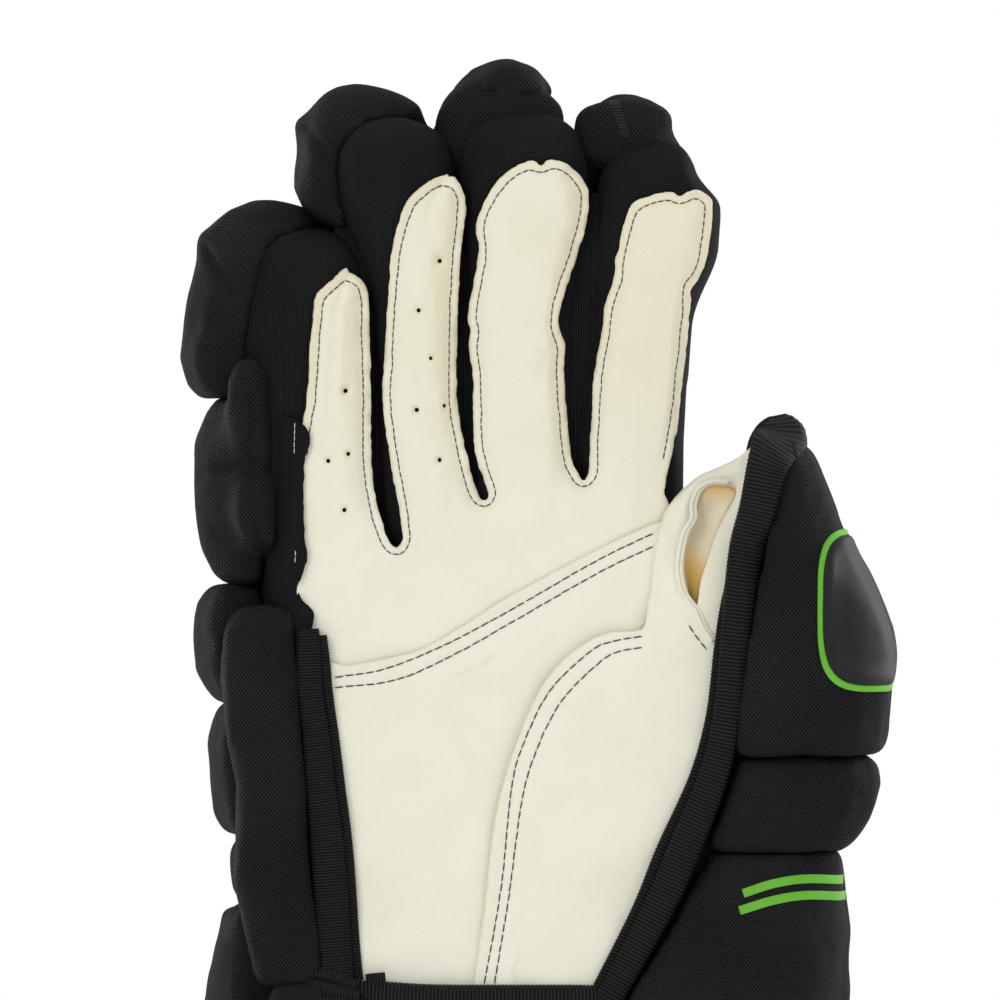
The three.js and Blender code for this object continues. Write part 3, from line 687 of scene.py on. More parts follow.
# Outer sides that are drawn in: by how much, from which x, and the heights where it starts, is full
# and ends. It is full from DRAW_RAMP past that x.
DRAW_RAMP = 14
DRAWN_IN = {
    "index_stall": [(5.2, 33.0, (212, 240, 284, 306)), (4.5, 34.0, (316, 326, 400, 401))],
    "index_tip_pad": [(7.0, 32.0, (212, 240, 292, 314)), (4.0, 34.0, (312, 324, 400, 401))],
    "index_middle_pad": [(10.0, 30.0, (212, 240, 306, 328))],
    "index_base_pad": [(10.0, 30.0, (212, 240, 306, 328))],
    "thumb_pad": [(4.2, 63.0, (198, 228, 400, 401))],
}


def draw_in(points, node):
    """Moves the outer side of a piece towards its middle."""
    for most, start, heights in DRAWN_IN.get(node, ()):
        share = smoothstep(np.interp(points[:, 2], heights, (0, 1, 1, 0)), 0, 1)
        points[:, 0] -= most * smoothstep(points[:, 0], start, start + DRAW_RAMP) * share


def stand_out(piece, corner):
    """Draws a cap's corner out of its side."""
    x, z, out = corner
    points = points_of(piece)
    away = np.linalg.norm(points[:, [0, 2]] - (x, z), axis=1)
    way = np.array((x, z)) - points[:, [0, 2]].mean(axis=0)
    way /= np.linalg.norm(way)
    points[:, [0, 2]] += way * (out * np.exp(-((away / 4.0) ** 2)))[:, None]
    move_points(piece, points)


def pad_from_node(node, padding):
    """The foam solid of a node, remeshed evenly and a little smaller, ready to be filled."""
    name = node.replace("_pad", "_cover") if "_pad" in node else f"{node}_cover"
    if node in SIDE_LENGTH:
        piece = one_cover(SIDE_LENGTH, "pinky_side_cover", SIDE_JOIN)
    else:
        piece = copy_of_node(node, name)
    remesh(piece, padding.voxel)
    relax(piece, 5)
    let_out = padding.plump + 0.0
    move_points(piece, points_of(piece) + normals_of(piece) * let_out / MM)
    return piece


def fill(pieces, padding):
    """Blows the covers up from inside, all in one run, and limits how far each point moves."""
    for piece in pieces:
        cloth = piece.modifiers.new("Fill", "CLOTH")
        cloth.settings.use_pressure = True
        cloth.settings.uniform_pressure_force = padding.pressure
        cloth.settings.effector_weights.gravity = 0.0
        cloth.settings.quality = 4
        cloth.point_cache.frame_start = 1
        cloth.point_cache.frame_end = FILL_FRAMES
    for step in range(1, FILL_FRAMES + 1):
        bpy.context.scene.frame_set(step)
    graph = bpy.context.evaluated_depsgraph_get()
    for piece in pieces:
        start = points_of(piece)
        way = points_of(piece.evaluated_get(graph)) - start
        length = np.maximum(np.linalg.norm(way, axis=1, keepdims=True), 1e-6)
        piece.modifiers.clear()
        move_points(piece, start + way * np.minimum(1, padding.swell / MM / length))
    bpy.context.scene.frame_set(1)


def sew(piece, seam, depth, half_width=1.3):
    """Pulls a cover in along a seam that is drawn in x and z."""
    points = points_of(piece)
    line = curve_through(seam, SEAM_STEP)
    _, distance = nearest_on_line(points[:, [0, 2]], line)
    normals = normals_of(piece)
    facing = smoothstep(-normals[:, 1], 0.0, 0.35)
    pull = depth / MM * facing * np.exp(-((distance / half_width) ** 2))
    move_points(piece, points - normals * pull[:, None])


def shape_cover(piece, node, seed, crease):
    """Folds a filled cover a little and fits it to its place: narrower or broader, with its seams."""
    finish_modifier(piece, "SUBSURF", levels=1, render_levels=1)
    points = points_of(piece)
    folds = wobble(points, 13.0, seed) * 0.6 + wobble(points, 5.0, seed + 40) * 0.2
    points = points + normals_of(piece) * folds[:, None]
    draw_in(points, node)
    if node == "side_roll":
        heights, growth = np.array(ROLL_GROWTH).T
        edge = points[:, 0].max() - ROLL_LEAN * (points[:, 2] - ROLL_FOOT)
        points[:, 0] = edge + (points[:, 0] - edge) * np.interp(points[:, 2], heights, growth)
    if node in SPREAD:
        middle = (points[:, 0].min() + points[:, 0].max()) / 2
        points[:, 0] = middle + (points[:, 0] - middle) * SPREAD[node]
    move_points(piece, points)
    if node in CORNERS:
        stand_out(piece, CORNERS[node])
    for seam in SEAMS.get(node, ()):
        sew(piece, seam, crease)
    write_attribute(piece, "slope", np.full(len(points), SLOPE.get(node, 0.0)))


# Full caps of the middle and index fingers. Rows of x, z, y, half the height and half the depth.
CAPS = {
    "middle_cap": [(-28.4, 337, -13, 2, 2.5), (-27.4, 337, -13, 5.5, 5), (-25.2, 337, -13, 9.6, 7),
                   (-21, 337, -13, 13.4, 8.5), (-16, 337, -13, 16, 9), (-10.5, 337, -13, 18, 9.5),
                   (-5, 337, -13, 17.2, 9), (0, 337, -13, 14.6, 8.5), (3.4, 338, -13, 11.4, 7.5),
                   (5.4, 338.5, -13, 7, 6), (6.4, 338.5, -13, 2.5, 3)],
    "index_cap": [(9.2, 336, -14, 2, 2.5), (9.9, 336, -14, 4.8, 4.5), (12.2, 336, -14, 7.4, 7),
                  (19.4, 336, -14, 9.7, 9), (25.4, 336, -14, 10.5, 9.5), (29.7, 336, -14, 9.6, 8.5),
                  (32.4, 336, -14, 7.6, 7), (33.8, 335.5, -14, 4.5, 4.5), (34.6, 335, -14, 2, 2.5)],
}


class GLOVE_OT_pads(bpy.types.Operator):
    """Fill and cover the foam pads and rolls"""

    bl_idname = "glove.pads"
    bl_label = "Pads"

    def execute(self, context):
        padding = context.scene.glove_padding
        colours = context.scene.glove_colours
        coarse = mesh_finish(colours, "open_mesh", 0.98, 1.24)
        fine = mesh_finish(colours, "close_mesh", 0.9, 1.14)
        lining = smooth_finish(colours, "roll_cloth")
        pads = {node: pad_from_node(node, padding) for node in (*PADS, "wrist_roll")}
        fill(list(pads.values()), padding)
        for seed, (node, piece) in enumerate(pads.items()):
            shape_cover(piece, node, seed, padding.crease)
            nodes = SIDE_LENGTH if node in SIDE_LENGTH else (node,)
            if node == "wrist_roll":
                dress(piece, lining, "smooth_lining", node)
            else:
                dress(piece, fine if node in FINE_MESH_PADS else coarse, "mesh_fabric", *nodes)
        for name, rows in CAPS.items():
            cap = ribbed_tape(name, rows, 2.0, 0.0, 32)
            remesh(cap, 1.5 * MM)
            relax(cap, 6)
            dress(cap, coarse, "mesh_fabric")
        return {"FINISHED"}


# Knit sleeves. Their ribs run round the middle line of each finger's front.

SLEEVE_FULL = {"pinky": 1.9, "ring": 1.7, "middle": 2.5, "index": 2.7, "thumb": 0.6}
SLEEVE_FOOT = 6.0

SPINES = {
    "pinky": [(-56, 222), (-54.5, 290)],
    "ring": [(-30, 222), (-30.5, 310)],
    "middle": [(-3, 222), (-3, 314)],
    "index": [(26, 222), (35, 308)],
    "thumb": [(62, 170), (64, 246)],
}


# Gussets close the slits between the fingers. Rows of x, z, y, half the width and half the depth.

GUSSETS = {
    "side_gusset": [(-74.5, 190, -8, 4, 4), (-75, 214, -9, 4.5, 4), (-75, 238, -10, 4, 4)],
    "pinky_gusset": [(-42.8, 222, -13, 6, 0.7), (-44.2, 262, -16, 6, 0.7), (-47.5, 290, -19, 6, 0.7),
                     (-51, 304, -20, 5, 0.7), (-52.6, 314, -19, 2.5, 0.6)],
    "ring_gusset": [(-16.6, 222, -13, 6, 0.7), (-20, 270, -17, 6, 0.7), (-20.5, 300, -18, 5, 0.7),
                    (-23, 320, -18, 5, 0.7), (-25.6, 331, -17, 4.5, 0.7), (-27, 335.5, -16, 2.5, 0.6),
                    (-27.8, 338.4, -15, 0.8, 0.5)],
    "middle_gusset": [(11.5, 222, -13, 7, 0.7), (10.6, 250, -15, 7, 0.7), (11.5, 275, -18, 8, 0.7),
                      (14, 300, -20, 6, 0.7), (16, 320, -20, 2, 0.6)],
}


class GLOVE_OT_stalls(bpy.types.Operator):
    """Knit the sleeves of the fingers and the thumb, and the gussets between them"""

    bl_idname = "glove.stalls"
    bl_label = "Finger sleeves"

    def execute(self, context):
        knit = knit_finish(context.scene.glove_colours)
        for seed, (finger, spine) in enumerate(SPINES.items()):
            node = f"{finger}_stall"
            piece = copy_of_node(node, f"{finger}_sleeve")
            finish_modifier(piece, "SUBSURF", levels=1, render_levels=1)
            remesh(piece, 1.1 * MM)
            relax(piece, 8)
            points = points_of(piece)
            normals = normals_of(piece)
            tucked = 1 - smoothstep(points[:, 2], *(points[:, 2].min() + (1.0, SLEEVE_FOOT)))
            full = SLEEVE_FULL[finger] * np.abs(normals[:, 0]) * (1 - tucked)
            out = wobble(points, 13.0, seed + 80) * 0.35 + full - 0.8 * tucked
            points += normals * out[:, None]
            points[:, 2] -= SLEEVE_FOOT * tucked
            draw_in(points, node)
            move_points(piece, points)
            _, away = nearest_on_line(points[:, [0, 2]], np.array(spine, float))
            back = points[:, 1] - palm_depth(points[:, 0], points[:, 2])
            write_attribute(piece, "rib", away + back)
            dress(piece, knit, "ribbed_knit", node)
        for name, rows in GUSSETS.items():
            gusset = ribbed_tape(name, rows, 2.0, 0.0)
            write_attribute(gusset, "rib", points_of(gusset)[:, 0])
            dress(gusset, knit, "ribbed_knit")
        return {"FINISHED"}


# Carriers: the smooth cloth behind the pads.

CARRIERS = {"hand_shell": "hand_carrier", "knuckle_shell": "knuckle_carrier", "cuff_liner": "cuff_lining"}


class GLOVE_OT_carriers(bpy.types.Operator):
    """Smooth the cloth that the pads are sewn to, and the lining of the cuff"""

    bl_idname = "glove.carriers"
    bl_label = "Carriers"

    def execute(self, context):
        cloth = smooth_finish(context.scene.glove_colours)
        for node, name in CARRIERS.items():
            piece = copy_of_node(node, name)
            remesh_thin(piece, 1.3, 6)
            dress(piece, cloth, "smooth_lining", node)
        return {"FINISHED"}


# Suede. Outlines in x and z.

PALM = [
    (-64.8, 199.4), (-65.3, 210.2), (-65.6, 221), (-65.3, 242.6), (-64, 256.1), (-62.6, 264.2),
    (-62.1, 271.2), (-61.6, 280.4), (-60.8, 286.3), (-59.9, 292.3), (-55.4, 296.6), (-52.4, 299.6),
    (-51.3, 298.5), (-50, 297.9), (-46.4, 293.4), (-45.9, 279), (-45.6, 264.2), (-45.4, 245.3),
    (-43.2, 233.1), (-40.8, 226.1), (-38.6, 224),
    (-37, 226.4), (-37.3, 229.6), (-38.6, 238.5), (-40.2, 246.4), (-42.4, 262.6), (-42.1, 272.3),
    (-40.5, 298.5), (-38.6, 309.6), (-35.4, 317.7), (-31.1, 321.7), (-25.4, 324.7), (-24.3, 323.1),
    (-23, 324.4), (-20, 317.4), (-21.1, 306), (-21.9, 295.5), (-22.4, 280.4), (-22.4, 264.2),
    (-20.8, 253.4), (-18.4, 243.9), (-16.5, 238.5), (-14.9, 236.9),
    (-14, 239.4), (-17.6, 250.7), (-18.1, 269.6), (-19.2, 278), (-18.6, 282.8), (-19.4, 287.7),
    (-16.5, 303.3), (-17.3, 310.4), (-15.1, 317.1), (-11.1, 323.1), (-6.5, 326.8), (-1.9, 328.5),
    (0.3, 326.8), (2.4, 328.7), (5.4, 328.2), (8.4, 326.8), (11.3, 323.6), (13.2, 319.3),
    (12.2, 310.4), (9.5, 301.5), (7.6, 296.3), (4.9, 285.8), (6.8, 278.5), (6.5, 271.2),
    (8.1, 250.7), (10.3, 244.2), (11.9, 242.1),
    (13.2, 244.8), (13.5, 250.7), (14.3, 266.6), (15.1, 274.5), (16.7, 282.8), (17.6, 290.1),
    (20, 297.1), (20.5, 302.5), (23, 312.8), (24.3, 316), (26.2, 317.7), (31.6, 319.5),
    (35.4, 319.8), (37.3, 318.5), (39.4, 319.8), (41.9, 320.6), (44.6, 319.3), (46.4, 317.1),
    (45.9, 309.3), (44.6, 301.5), (42.9, 297.1), (40.5, 293.6), (40.5, 289.3), (39.4, 277.4),
    (38.3, 268.2), (37.3, 258.8), (34.6, 245.3), (33.5, 239.4),
    (35.6, 234), (38, 229.1), (38, 212), (32.4, 203), (16.2, 203), (-5.4, 198), (-27, 188),
    (-48.6, 182), (-61.6, 184),
]
HEEL = [
    (-58.9, 190.8), (-51.3, 192.6), (-42.1, 194.3), (-32.9, 196.4), (-22.1, 202.4), (-10.8, 209.7),
    (2.7, 217.2), (16.2, 224.2), (24.8, 228.3), (32.4, 231.3), (35, 230), (34, 221), (31, 209),
    (25.5, 199.6), (16.2, 192.8), (9.5, 184.8), (1.4, 169), (-2.7, 148.1), (-5.9, 129.2),
    (-9.5, 101.4), (-29.7, 101.4), (-49.4, 101.4), (-49.7, 110.8), (-52.4, 134.6), (-55.6, 161.6),
]
THUMB = [
    (60.5, 255), (57.5, 252), (52.1, 248), (47.5, 245.8), (43.2, 243.9), (39.4, 241), (36.5, 238),
    (34, 234.8), (32.4, 230.4), (31.3, 226.1), (30.5, 221), (30, 215.1), (28.9, 208.6), (27.3, 202.4),
    (19.4, 201.6), (12.4, 198.9), (6.2, 194), (0.8, 187.5), (-4.3, 176.7), (-9.7, 161.6),
    (-12.7, 148.1), (-14.9, 128.9), (-17.8, 107.1), (-18.1, 101.4), (0, 101.4), (19.4, 101.4),
    (29.2, 122.4), (38.3, 143.8), (47, 164.3), (49.1, 183.2), (49.1, 196.7), (51.3, 208.3),
    (54.5, 224), (56.2, 234.5), (58.1, 247.2),
]
FOLD = [
    (44.3, 240.4), (48.6, 241), (52.9, 239.6), (49.4, 232.6), (47, 226.9), (44.8, 220.2), (43.2, 215.1),
    (42.1, 208.6), (40.2, 211.3), (38.9, 217.8), (39.4, 224), (41.6, 231.3), (42.9, 236.4),
]
LIP_RADIUS = 0.55
FOLD_LIP = [
    (46.4, 199.1), (43.7, 203.2), (42.1, 207), (40.2, 209.4), (38.1, 212.6), (37, 217.8), (37.3, 222.9),
    (38.6, 228.6), (40.8, 232.3), (40.8, 236.4), (42.7, 240.4), (46.4, 242.3), (50.8, 241.8),
]
SIDE_PATCH = [
    (-75.1, 256.6), (-70.7, 259.3), (-65.3, 258.8), (-62.4, 255.6), (-62.1, 252.3), (-63.2, 247.5),
    (-63.7, 242.1), (-63.5, 231.8), (-62.9, 221.5), (-64, 217.2), (-65.3, 213.7), (-63.7, 210.2),
    (-61, 206.7), (-61.3, 203.2), (-62.4, 199.4), (-64.8, 196.7), (-68, 199.4), (-71.3, 207),
    (-73.4, 215.6), (-74.5, 227.7), (-75.1, 239.9),
]
VENT_HOLES = [
    (-52.4, 266.6), (-57, 247.7), (-51.6, 249.6), (-52.7, 234.5), (-27, 301.5), (-32.7, 288.2),
    (-29.4, 275.3), (-33.2, 261.5), (-25.7, 262.6), (-27, 248),
]
VENT_RADIUS = 0.62

# Stitch lines, in x and z.
SEAM_STITCHES = {
    "heel_patch": [
        [(-55.4, 189.4), (-42.1, 191.6), (-27, 197.5), (-10.8, 205.9), (16.2, 221.3), (31.9, 228.8)],
        [(-55.4, 186.7), (-39.2, 188.6), (-24, 195.1), (-10.8, 202.4), (16.2, 217.8), (31.3, 225)],
    ],
    "thumb_suede": [
        [(27.5, 200.5), (19.4, 199.1), (13.5, 196.4), (2.7, 185.9), (-4.1, 172.4), (-7.6, 160.2),
         (-10.5, 132.4), (-15.1, 106.5), (-15.7, 101.4)],
        [(27.5, 197.5), (20.5, 196.2), (15.4, 192.9), (5.9, 183.2), (-0.8, 170.2), (-4.9, 156.2),
         (-8.4, 130.5), (-12.4, 106), (-13, 101.4)],
    ],
}
LIP_STITCHES = [(40, 203.5), (42.5, 199.8), (45.6, 196)]
PATCH_STITCHES = [[(-66, 258), (-66.2, 248.5)], [(-65.8, 223.6), (-66, 219.8)]]
EDGE_FROM = (-62.5, 249.0)
EDGE_TO = (35.5, 246.0)


def cut_sheet(name, outline, cell, depth, hole=None, vents=(), rough=0.16):
    """A fine grid trimmed to an outline, as the front face of a sheet.

    The depth function turns x, z and the distance from the edge into y. All are in millimetres.
    """
    edge = curve_through(outline, OUTLINE_STEP, closed=True)
    for scale, share in ((2.6, 1.0), (0.8, 0.7)):
        rag = [wobble(flat_places(*edge.T), scale, seed) for seed in (3.1, 7.7)]
        edge += rough * share * np.stack(rag, axis=1)
    low, high = edge.min(axis=0) - cell, edge.max(axis=0) + cell
    counts = [math.ceil(span / cell) for span in high - low]
    deselect()
    bpy.ops.mesh.primitive_grid_add(x_subdivisions=counts[0], y_subdivisions=counts[1], size=1.0)
    piece = bpy.context.active_object
    piece.name = name
    piece.data.name = name
    grid = in_frame(points_of(piece))
    flat = low + (grid[:, :2] + 0.5) * (high - low)
    corners = np.empty(len(piece.data.polygons) * 4, int)
    piece.data.polygons.foreach_get("vertices", corners)
    corners = corners.reshape(-1, 4)
    middles = flat[corners].mean(axis=1)
    keep = inside(middles, edge)
    lines = [edge]
    if hole is not None:
        rim = curve_through(hole, OUTLINE_STEP, closed=True)
        keep &= ~inside(middles, rim)
        lines.append(rim)
    for vent in vents:
        nearest = np.linalg.norm(flat - vent, axis=1).argmin()
        keep &= ~(corners == nearest).any(axis=1)
    used = np.zeros(len(flat), int)
    np.add.at(used, corners[keep].ravel(), 1)
    border = (used > 0) & (used < 4)
    places, away = zip(*[nearest_on_line(flat, line, closed=True) for line in lines])
    best = np.argmin(away, axis=0)
    row = np.arange(len(flat))
    target = np.array(places)[best, row]
    away = np.array(away)[best, row]
    for vent in vents:
        way = flat - vent
        length = np.maximum(np.linalg.norm(way, axis=1, keepdims=True), 1e-6)
        round_it = border & (length[:, 0] < 2.2 * cell)
        target[round_it] = (vent + way / length * VENT_RADIUS)[round_it]
    flat[border] = target[border]
    distance = np.where(border, 0, away)
    points = np.stack([flat[:, 0], depth(flat[:, 0], flat[:, 1], distance), flat[:, 1]], axis=1)
    move_points(piece, points)
    write_attribute(piece, "edge", distance)
    bpy.ops.object.mode_set(mode="EDIT")
    bpy.ops.mesh.select_mode(type="FACE")
    bpy.ops.object.mode_set(mode="OBJECT")
    piece.data.polygons.foreach_set("select", ~keep)
    bpy.ops.object.mode_set(mode="EDIT")
    bpy.ops.mesh.delete(type="FACE")
    bpy.ops.mesh.select_all(action="SELECT")
    bpy.ops.mesh.normals_make_consistent(inside=False)
    bpy.ops.object.mode_set(mode="OBJECT")
    if np.mean([face.normal.y for face in piece.data.polygons]) > 0:
        piece.data.flip_normals()
    return piece


def pucker(piece, lines, depth):
    """Draws a sheet in along stitch lines."""
    points = points_of(piece)
    for line in lines:
        _, away = nearest_on_line(points[:, [0, 2]], line)
        points[:, 1] += depth * np.exp(-((away / 0.9) ** 2))
    move_points(piece, points)


def read_attribute(piece, name):
    values = np.empty(len(piece.data.vertices), np.float32)
    piece.data.attributes[name].data.foreach_get("value", values)
    return values


def thicken(piece, thickness):
    """Gives a sheet its thickness behind its face."""
    finish_modifier(piece, "SOLIDIFY", thickness=thickness * MM, offset=-1.0, use_even_offset=False)


def declare_sheet(outline):
    """Works out the area and the size that a sheet was cut to, and does nothing with them."""
    cut = curve_through(outline, OUTLINE_STEP, closed=True)
    ahead = np.roll(cut, -1, axis=0)
    area = abs((cut[:, 0] * ahead[:, 1] - cut[:, 1] * ahead[:, 0]).sum()) / 2
    width, length = cut.max(axis=0) - cut.min(axis=0)


def inward(outline, margin):
    """A closed outline moved in by a margin, without the loops where it would cross itself."""
    line = curve_through(outline, 0.5, closed=True)
    along = np.roll(line, -3, axis=0) - np.roll(line, 3, axis=0)
    along /= np.maximum(np.linalg.norm(along, axis=1, keepdims=True), 1e-9)
    moved = line + margin * np.stack([along[:, 1], -along[:, 0]], axis=1)
    if inside(moved, line).mean() < 0.5:
        moved = line - margin * np.stack([along[:, 1], -along[:, 0]], axis=1)
    _, away = nearest_on_line(moved, line, closed=True)
    moved = moved[away > 0.93 * margin]
    for _ in range(6):
        moved[1:-1] = (moved[:-2] + 2 * moved[1:-1] + moved[2:]) / 4
    return moved


def between(line, first, last):
    """The stretch of a line from near one place to near another."""
    a = np.linalg.norm(line - first, axis=1).argmin()
    b = np.linalg.norm(line - last, axis=1).argmin()
    return line[min(a, b) : max(a, b) + 1]


def stitches(name, jobs, pitch, thickness, material, slot):
    """Lays stitches over sheets: each job is a line in x and z and the sheet that it is sewn into."""
    deselect()
    bpy.ops.mesh.primitive_uv_sphere_add(segments=6, ring_count=5, radius=0.5)
    bead = bpy.context.active_object
    shape = np.array([vertex.co for vertex in bead.data.vertices])
    shape[:, 2] = np.sign(shape[:, 2]) * np.abs(shape[:, 2] * 2) ** 0.7 / 2
    faces = [list(face.vertices) for face in bead.data.polygons]
    bpy.data.objects.remove(bead)
    points, skin = [], []
    chance = np.random.default_rng(7)
    for line, sheet in jobs:
        ground = ground_of(sheet)
        gaps = np.concatenate([[0], np.cumsum(np.linalg.norm(np.diff(line, axis=0), axis=1))])
        starts = np.arange(0, gaps[-1] - 0.8 * pitch, pitch)
        for start in starts:
            ends = []
            for place in (start + 0.04 * pitch, start + (0.84 + 0.08 * chance.random()) * pitch):
                x, z = (np.interp(place, gaps, column) for column in line.T)
                x, z = (x, z) + 0.1 * thickness * chance.standard_normal(2)
                y = probe(ground, x, z)
                if y is not None:
                    ends.append(np.array((x, y, z)))
            if len(ends) < 2 or np.linalg.norm(ends[1] - ends[0]) > 2 * pitch:
                continue
            middle = (ends[0] + ends[1]) / 2 - np.array((0, 0.18 * thickness, 0))
            along = ends[1] - ends[0]
            length = np.linalg.norm(along)
            along = along / length
            across = np.cross(along, (0, -1, 0))
            across /= np.linalg.norm(across)
            out = np.cross(across, along)
            first = len(points)
            local = shape * np.array([thickness, thickness * 0.8, length + 0.5 * thickness])
            points.extend(middle + local @ np.array([across, out, along]))
            skin.extend([[first + corner for corner in face] for face in faces])
    dress(mesh_piece(name, points, skin), material, slot)


def palm_profile(x, z, distance):
    """Finger fronts are rounded towards their edges, which ripple a little."""
    fingers = smoothstep(z, 222, 242)
    turned = 3.4 * fingers * np.clip(1 - distance / 9.0, 0, 1) ** 2
    places = flat_places(x, z)
    folds = 0.8 * wobble(places, 17.0, 1.3) + 0.4 * wobble(places, 6.5, 5.9)
    ripple = (0.9 * wobble(places, 4.2, 9.1) - 0.35) * np.exp(-((distance / 1.7) ** 2))
    return palm_depth(x, z) - SUEDE + turned + folds + ripple


def heel_profile(x, z, distance):
    places = flat_places(x, z)
    folds = 0.8 * wobble(places, 24.0, 2.3) + 0.3 * wobble(places, 8.0, 6.4)
    return palm_depth(x, z) - LAYER - SUEDE + folds


def thumb_profile(x, z, distance):
    """The thumb's suede turns back at the web and swells over the ball of the thumb."""
    places = flat_places(x, z)
    web = smoothstep(z, 196, 236) * (0.8 + 3.2 * smoothstep(z, 228, 240))
    turned = web * np.clip(1 - distance / 7.0, 0, 1) ** 2 * (1 - smoothstep(x, 50, 54))
    ball = 2.2 * np.exp(-(((x - 20) / 26) ** 2) - ((z - 172) / 34) ** 2)
    folds = 0.9 * wobble(places, 22.0, 4.3) + 0.4 * wobble(places, 8.0, 8.4)
    return palm_depth(x, z) - 2 * LAYER - SUEDE + turned - ball + folds


def lining_profile(x, z, distance):
    """The back of the fold is hollow."""
    return palm_depth(x, z) + 0.2 + 0.8 * smoothstep(distance, 0, 6.0)


def side_profile(x, z, distance):
    """The side patch turns round the hand's outer edge."""
    round_edge = 9.0 * smoothstep(-x, 63.0, 78.0) ** 1.5
    places = flat_places(x, z)
    folds = 0.6 * wobble(places, 12.0, 3.3) + 0.2 * wobble(places, 5.0, 1.4)
    ripple = 0.35 * wobble(places, 4.0, 6.1) * np.exp(-distance / 1.5)
    return palm_depth(x, z) - LAYER - 0.8 + round_edge + folds + ripple


class GLOVE_OT_palm(bpy.types.Operator):
    """Cut, layer and punch the suede of the palm"""

    bl_idname = "glove.palm"
    bl_label = "Palm suede"

    def execute(self, context):
        sewing = context.scene.glove_sewing
        colours = context.scene.glove_colours
        cell = sewing.cell / MM
        suede = suede_finish(colours)
        sleeves = [bpy.data.objects[f"{finger}_sleeve"] for finger in SPINES]
        edge_line = between(inward(PALM, sewing.margin / MM), EDGE_FROM, EDGE_TO)
        sway = [wobble(flat_places(*edge_line.T), 3.4, seed) for seed in (1.9, 4.6)]
        edge_line = edge_line + 0.3 * np.stack(sway, axis=1)
        seams = {
            key: [curve_through(line, SEAM_STEP) for line in lines] for key, lines in SEAM_STITCHES.items()
        }

        palm = cut_sheet("palm_front", PALM, cell, palm_profile, vents=VENT_HOLES, rough=0.3)
        rest_on(palm, sleeves, SUEDE + 0.3)
        pucker(palm, [edge_line], 0.5)
        heel = cut_sheet("heel_overlay", HEEL, cell, heel_profile, rough=0.12)
        rest_on(heel, [palm], SUEDE + 0.1)
        pucker(heel, seams["heel_patch"], 0.45)
        thumb = cut_sheet("thumb_front", THUMB, cell, thumb_profile, hole=FOLD, rough=0.12)
        rest_on(thumb, [palm, heel, *sleeves], SUEDE + 0.1)
        pucker(thumb, seams["thumb_suede"], 0.45)
        sheets = ((palm, "palm_suede", 1), (heel, "heel_patch", 0), (thumb, "thumb_suede", 0))
        # The last number of each row marks the sheet with the fingers, which gets the finger tone and
        # painted shade where it turns to the side.
        for piece, node, finger_sheet in sheets:
            points = points_of(piece)
            fingers = finger_sheet * smoothstep(points[:, 2], 215, 290)
            # Warmer and darker up the fingers, most on the index finger.
            finger_tone = fingers * (0.35 + 0.4 * smoothstep(points[:, 0], 5, 25))
            rim = (0.5 if finger_sheet else 0.3) * np.exp(-read_attribute(piece, "edge") / 1.5)
            # Painted shade: the suede is warmer and darker where it faces the thumb's side, turned away from
            # the key light.
            turned_shade = 0.9 * fingers * smoothstep(normals_of(piece)[:, 0], 0.12, 0.45)
            write_attribute(piece, "warm", finger_tone + rim + turned_shade)
            thicken(piece, SUEDE)
            dress(piece, suede, "cream_suede", node)
        declare_sheet(PALM)
        declare_sheet(HEEL)
        declare_sheet(THUMB)
        self.fold(colours, cell, suede)

        dark = thread_finish(colours.thread, "seam_thread")
        edge_jobs = [(edge_line, palm)]
        thread = sewing.thread / MM
        stitches("edge_stitches", edge_jobs, sewing.edge_stitch / MM, 0.9 * thread, dark, "cream_suede")
        seam_jobs = [(line, heel) for line in seams["heel_patch"]]
        seam_jobs += [(line, thumb) for line in seams["thumb_suede"]]
        seam_jobs.append((curve_through(LIP_STITCHES, SEAM_STEP), thumb))
        stitches("seam_stitches", seam_jobs, sewing.seam_stitch / MM, thread, dark, "cream_suede")
        return {"FINISHED"}

    def fold(self, colours, cell, suede):
        """The pinched fold of the thumb: a hollow lining, painted lighter than the suede and with painted
        orange shadow at its top and foot, and a doubled lip.
        """
        finish = Finish("fold_suede", 0.95, sheen=0.1)
        nap = finish.noise(0.4, 3.0)
        warm = finish.attribute("warm")
        # Painted light and shade: the lining is a brightened copy of the suede, and the fold colour is
        # painted shadow.
        tone = finish.blend(warm, rgba(colours.suede, 1.12), rgba(colours.fold))
        finish.use(colour=tone, normal=finish.bump(nap, 0.2, 0.5))
        middle = np.mean(FOLD, axis=0)
        outline = [tuple(middle + (np.array(point) - middle) * 1.2) for point in FOLD]
        lining = cut_sheet("fold_lining", outline, cell, lining_profile, rough=0.0)
        points = points_of(lining)
        # Painted shadow at the top and the foot of the hollow.
        top = smoothstep(points[:, 2], 236, 242)
        foot = 1 - smoothstep(points[:, 2] - 0.8 * (48 - points[:, 0]), 212, 222)
        write_attribute(lining, "warm", 0.26 + 0.7 * np.maximum(top, foot))
        thicken(lining, SUEDE)
        dress(lining, finish.material, "cream_suede")
        declare_sheet(outline)
        for name, shift, height in (("fold_lip", 0.0, 0.9), ("fold_lip_turned", 1.0, 0.5)):
            line = curve_through(FOLD_LIP, OUTLINE_STEP)
            depth = palm_depth(line[:, 0], line[:, 1]) - 2 * LAYER - SUEDE - height
            halves = np.full((2, len(line)), LIP_RADIUS)
            rows = np.column_stack([line[:, 0] + shift, line[:, 1], depth, *halves])
            lip = ribbed_tape(name, rows, 2.0, 0.0)
            write_attribute(lip, "warm", np.full(len(lip.data.vertices), 0.25))
            dress(lip, suede, "cream_suede")


# Bindings. Rows of x, z, y, half the width and half the depth.

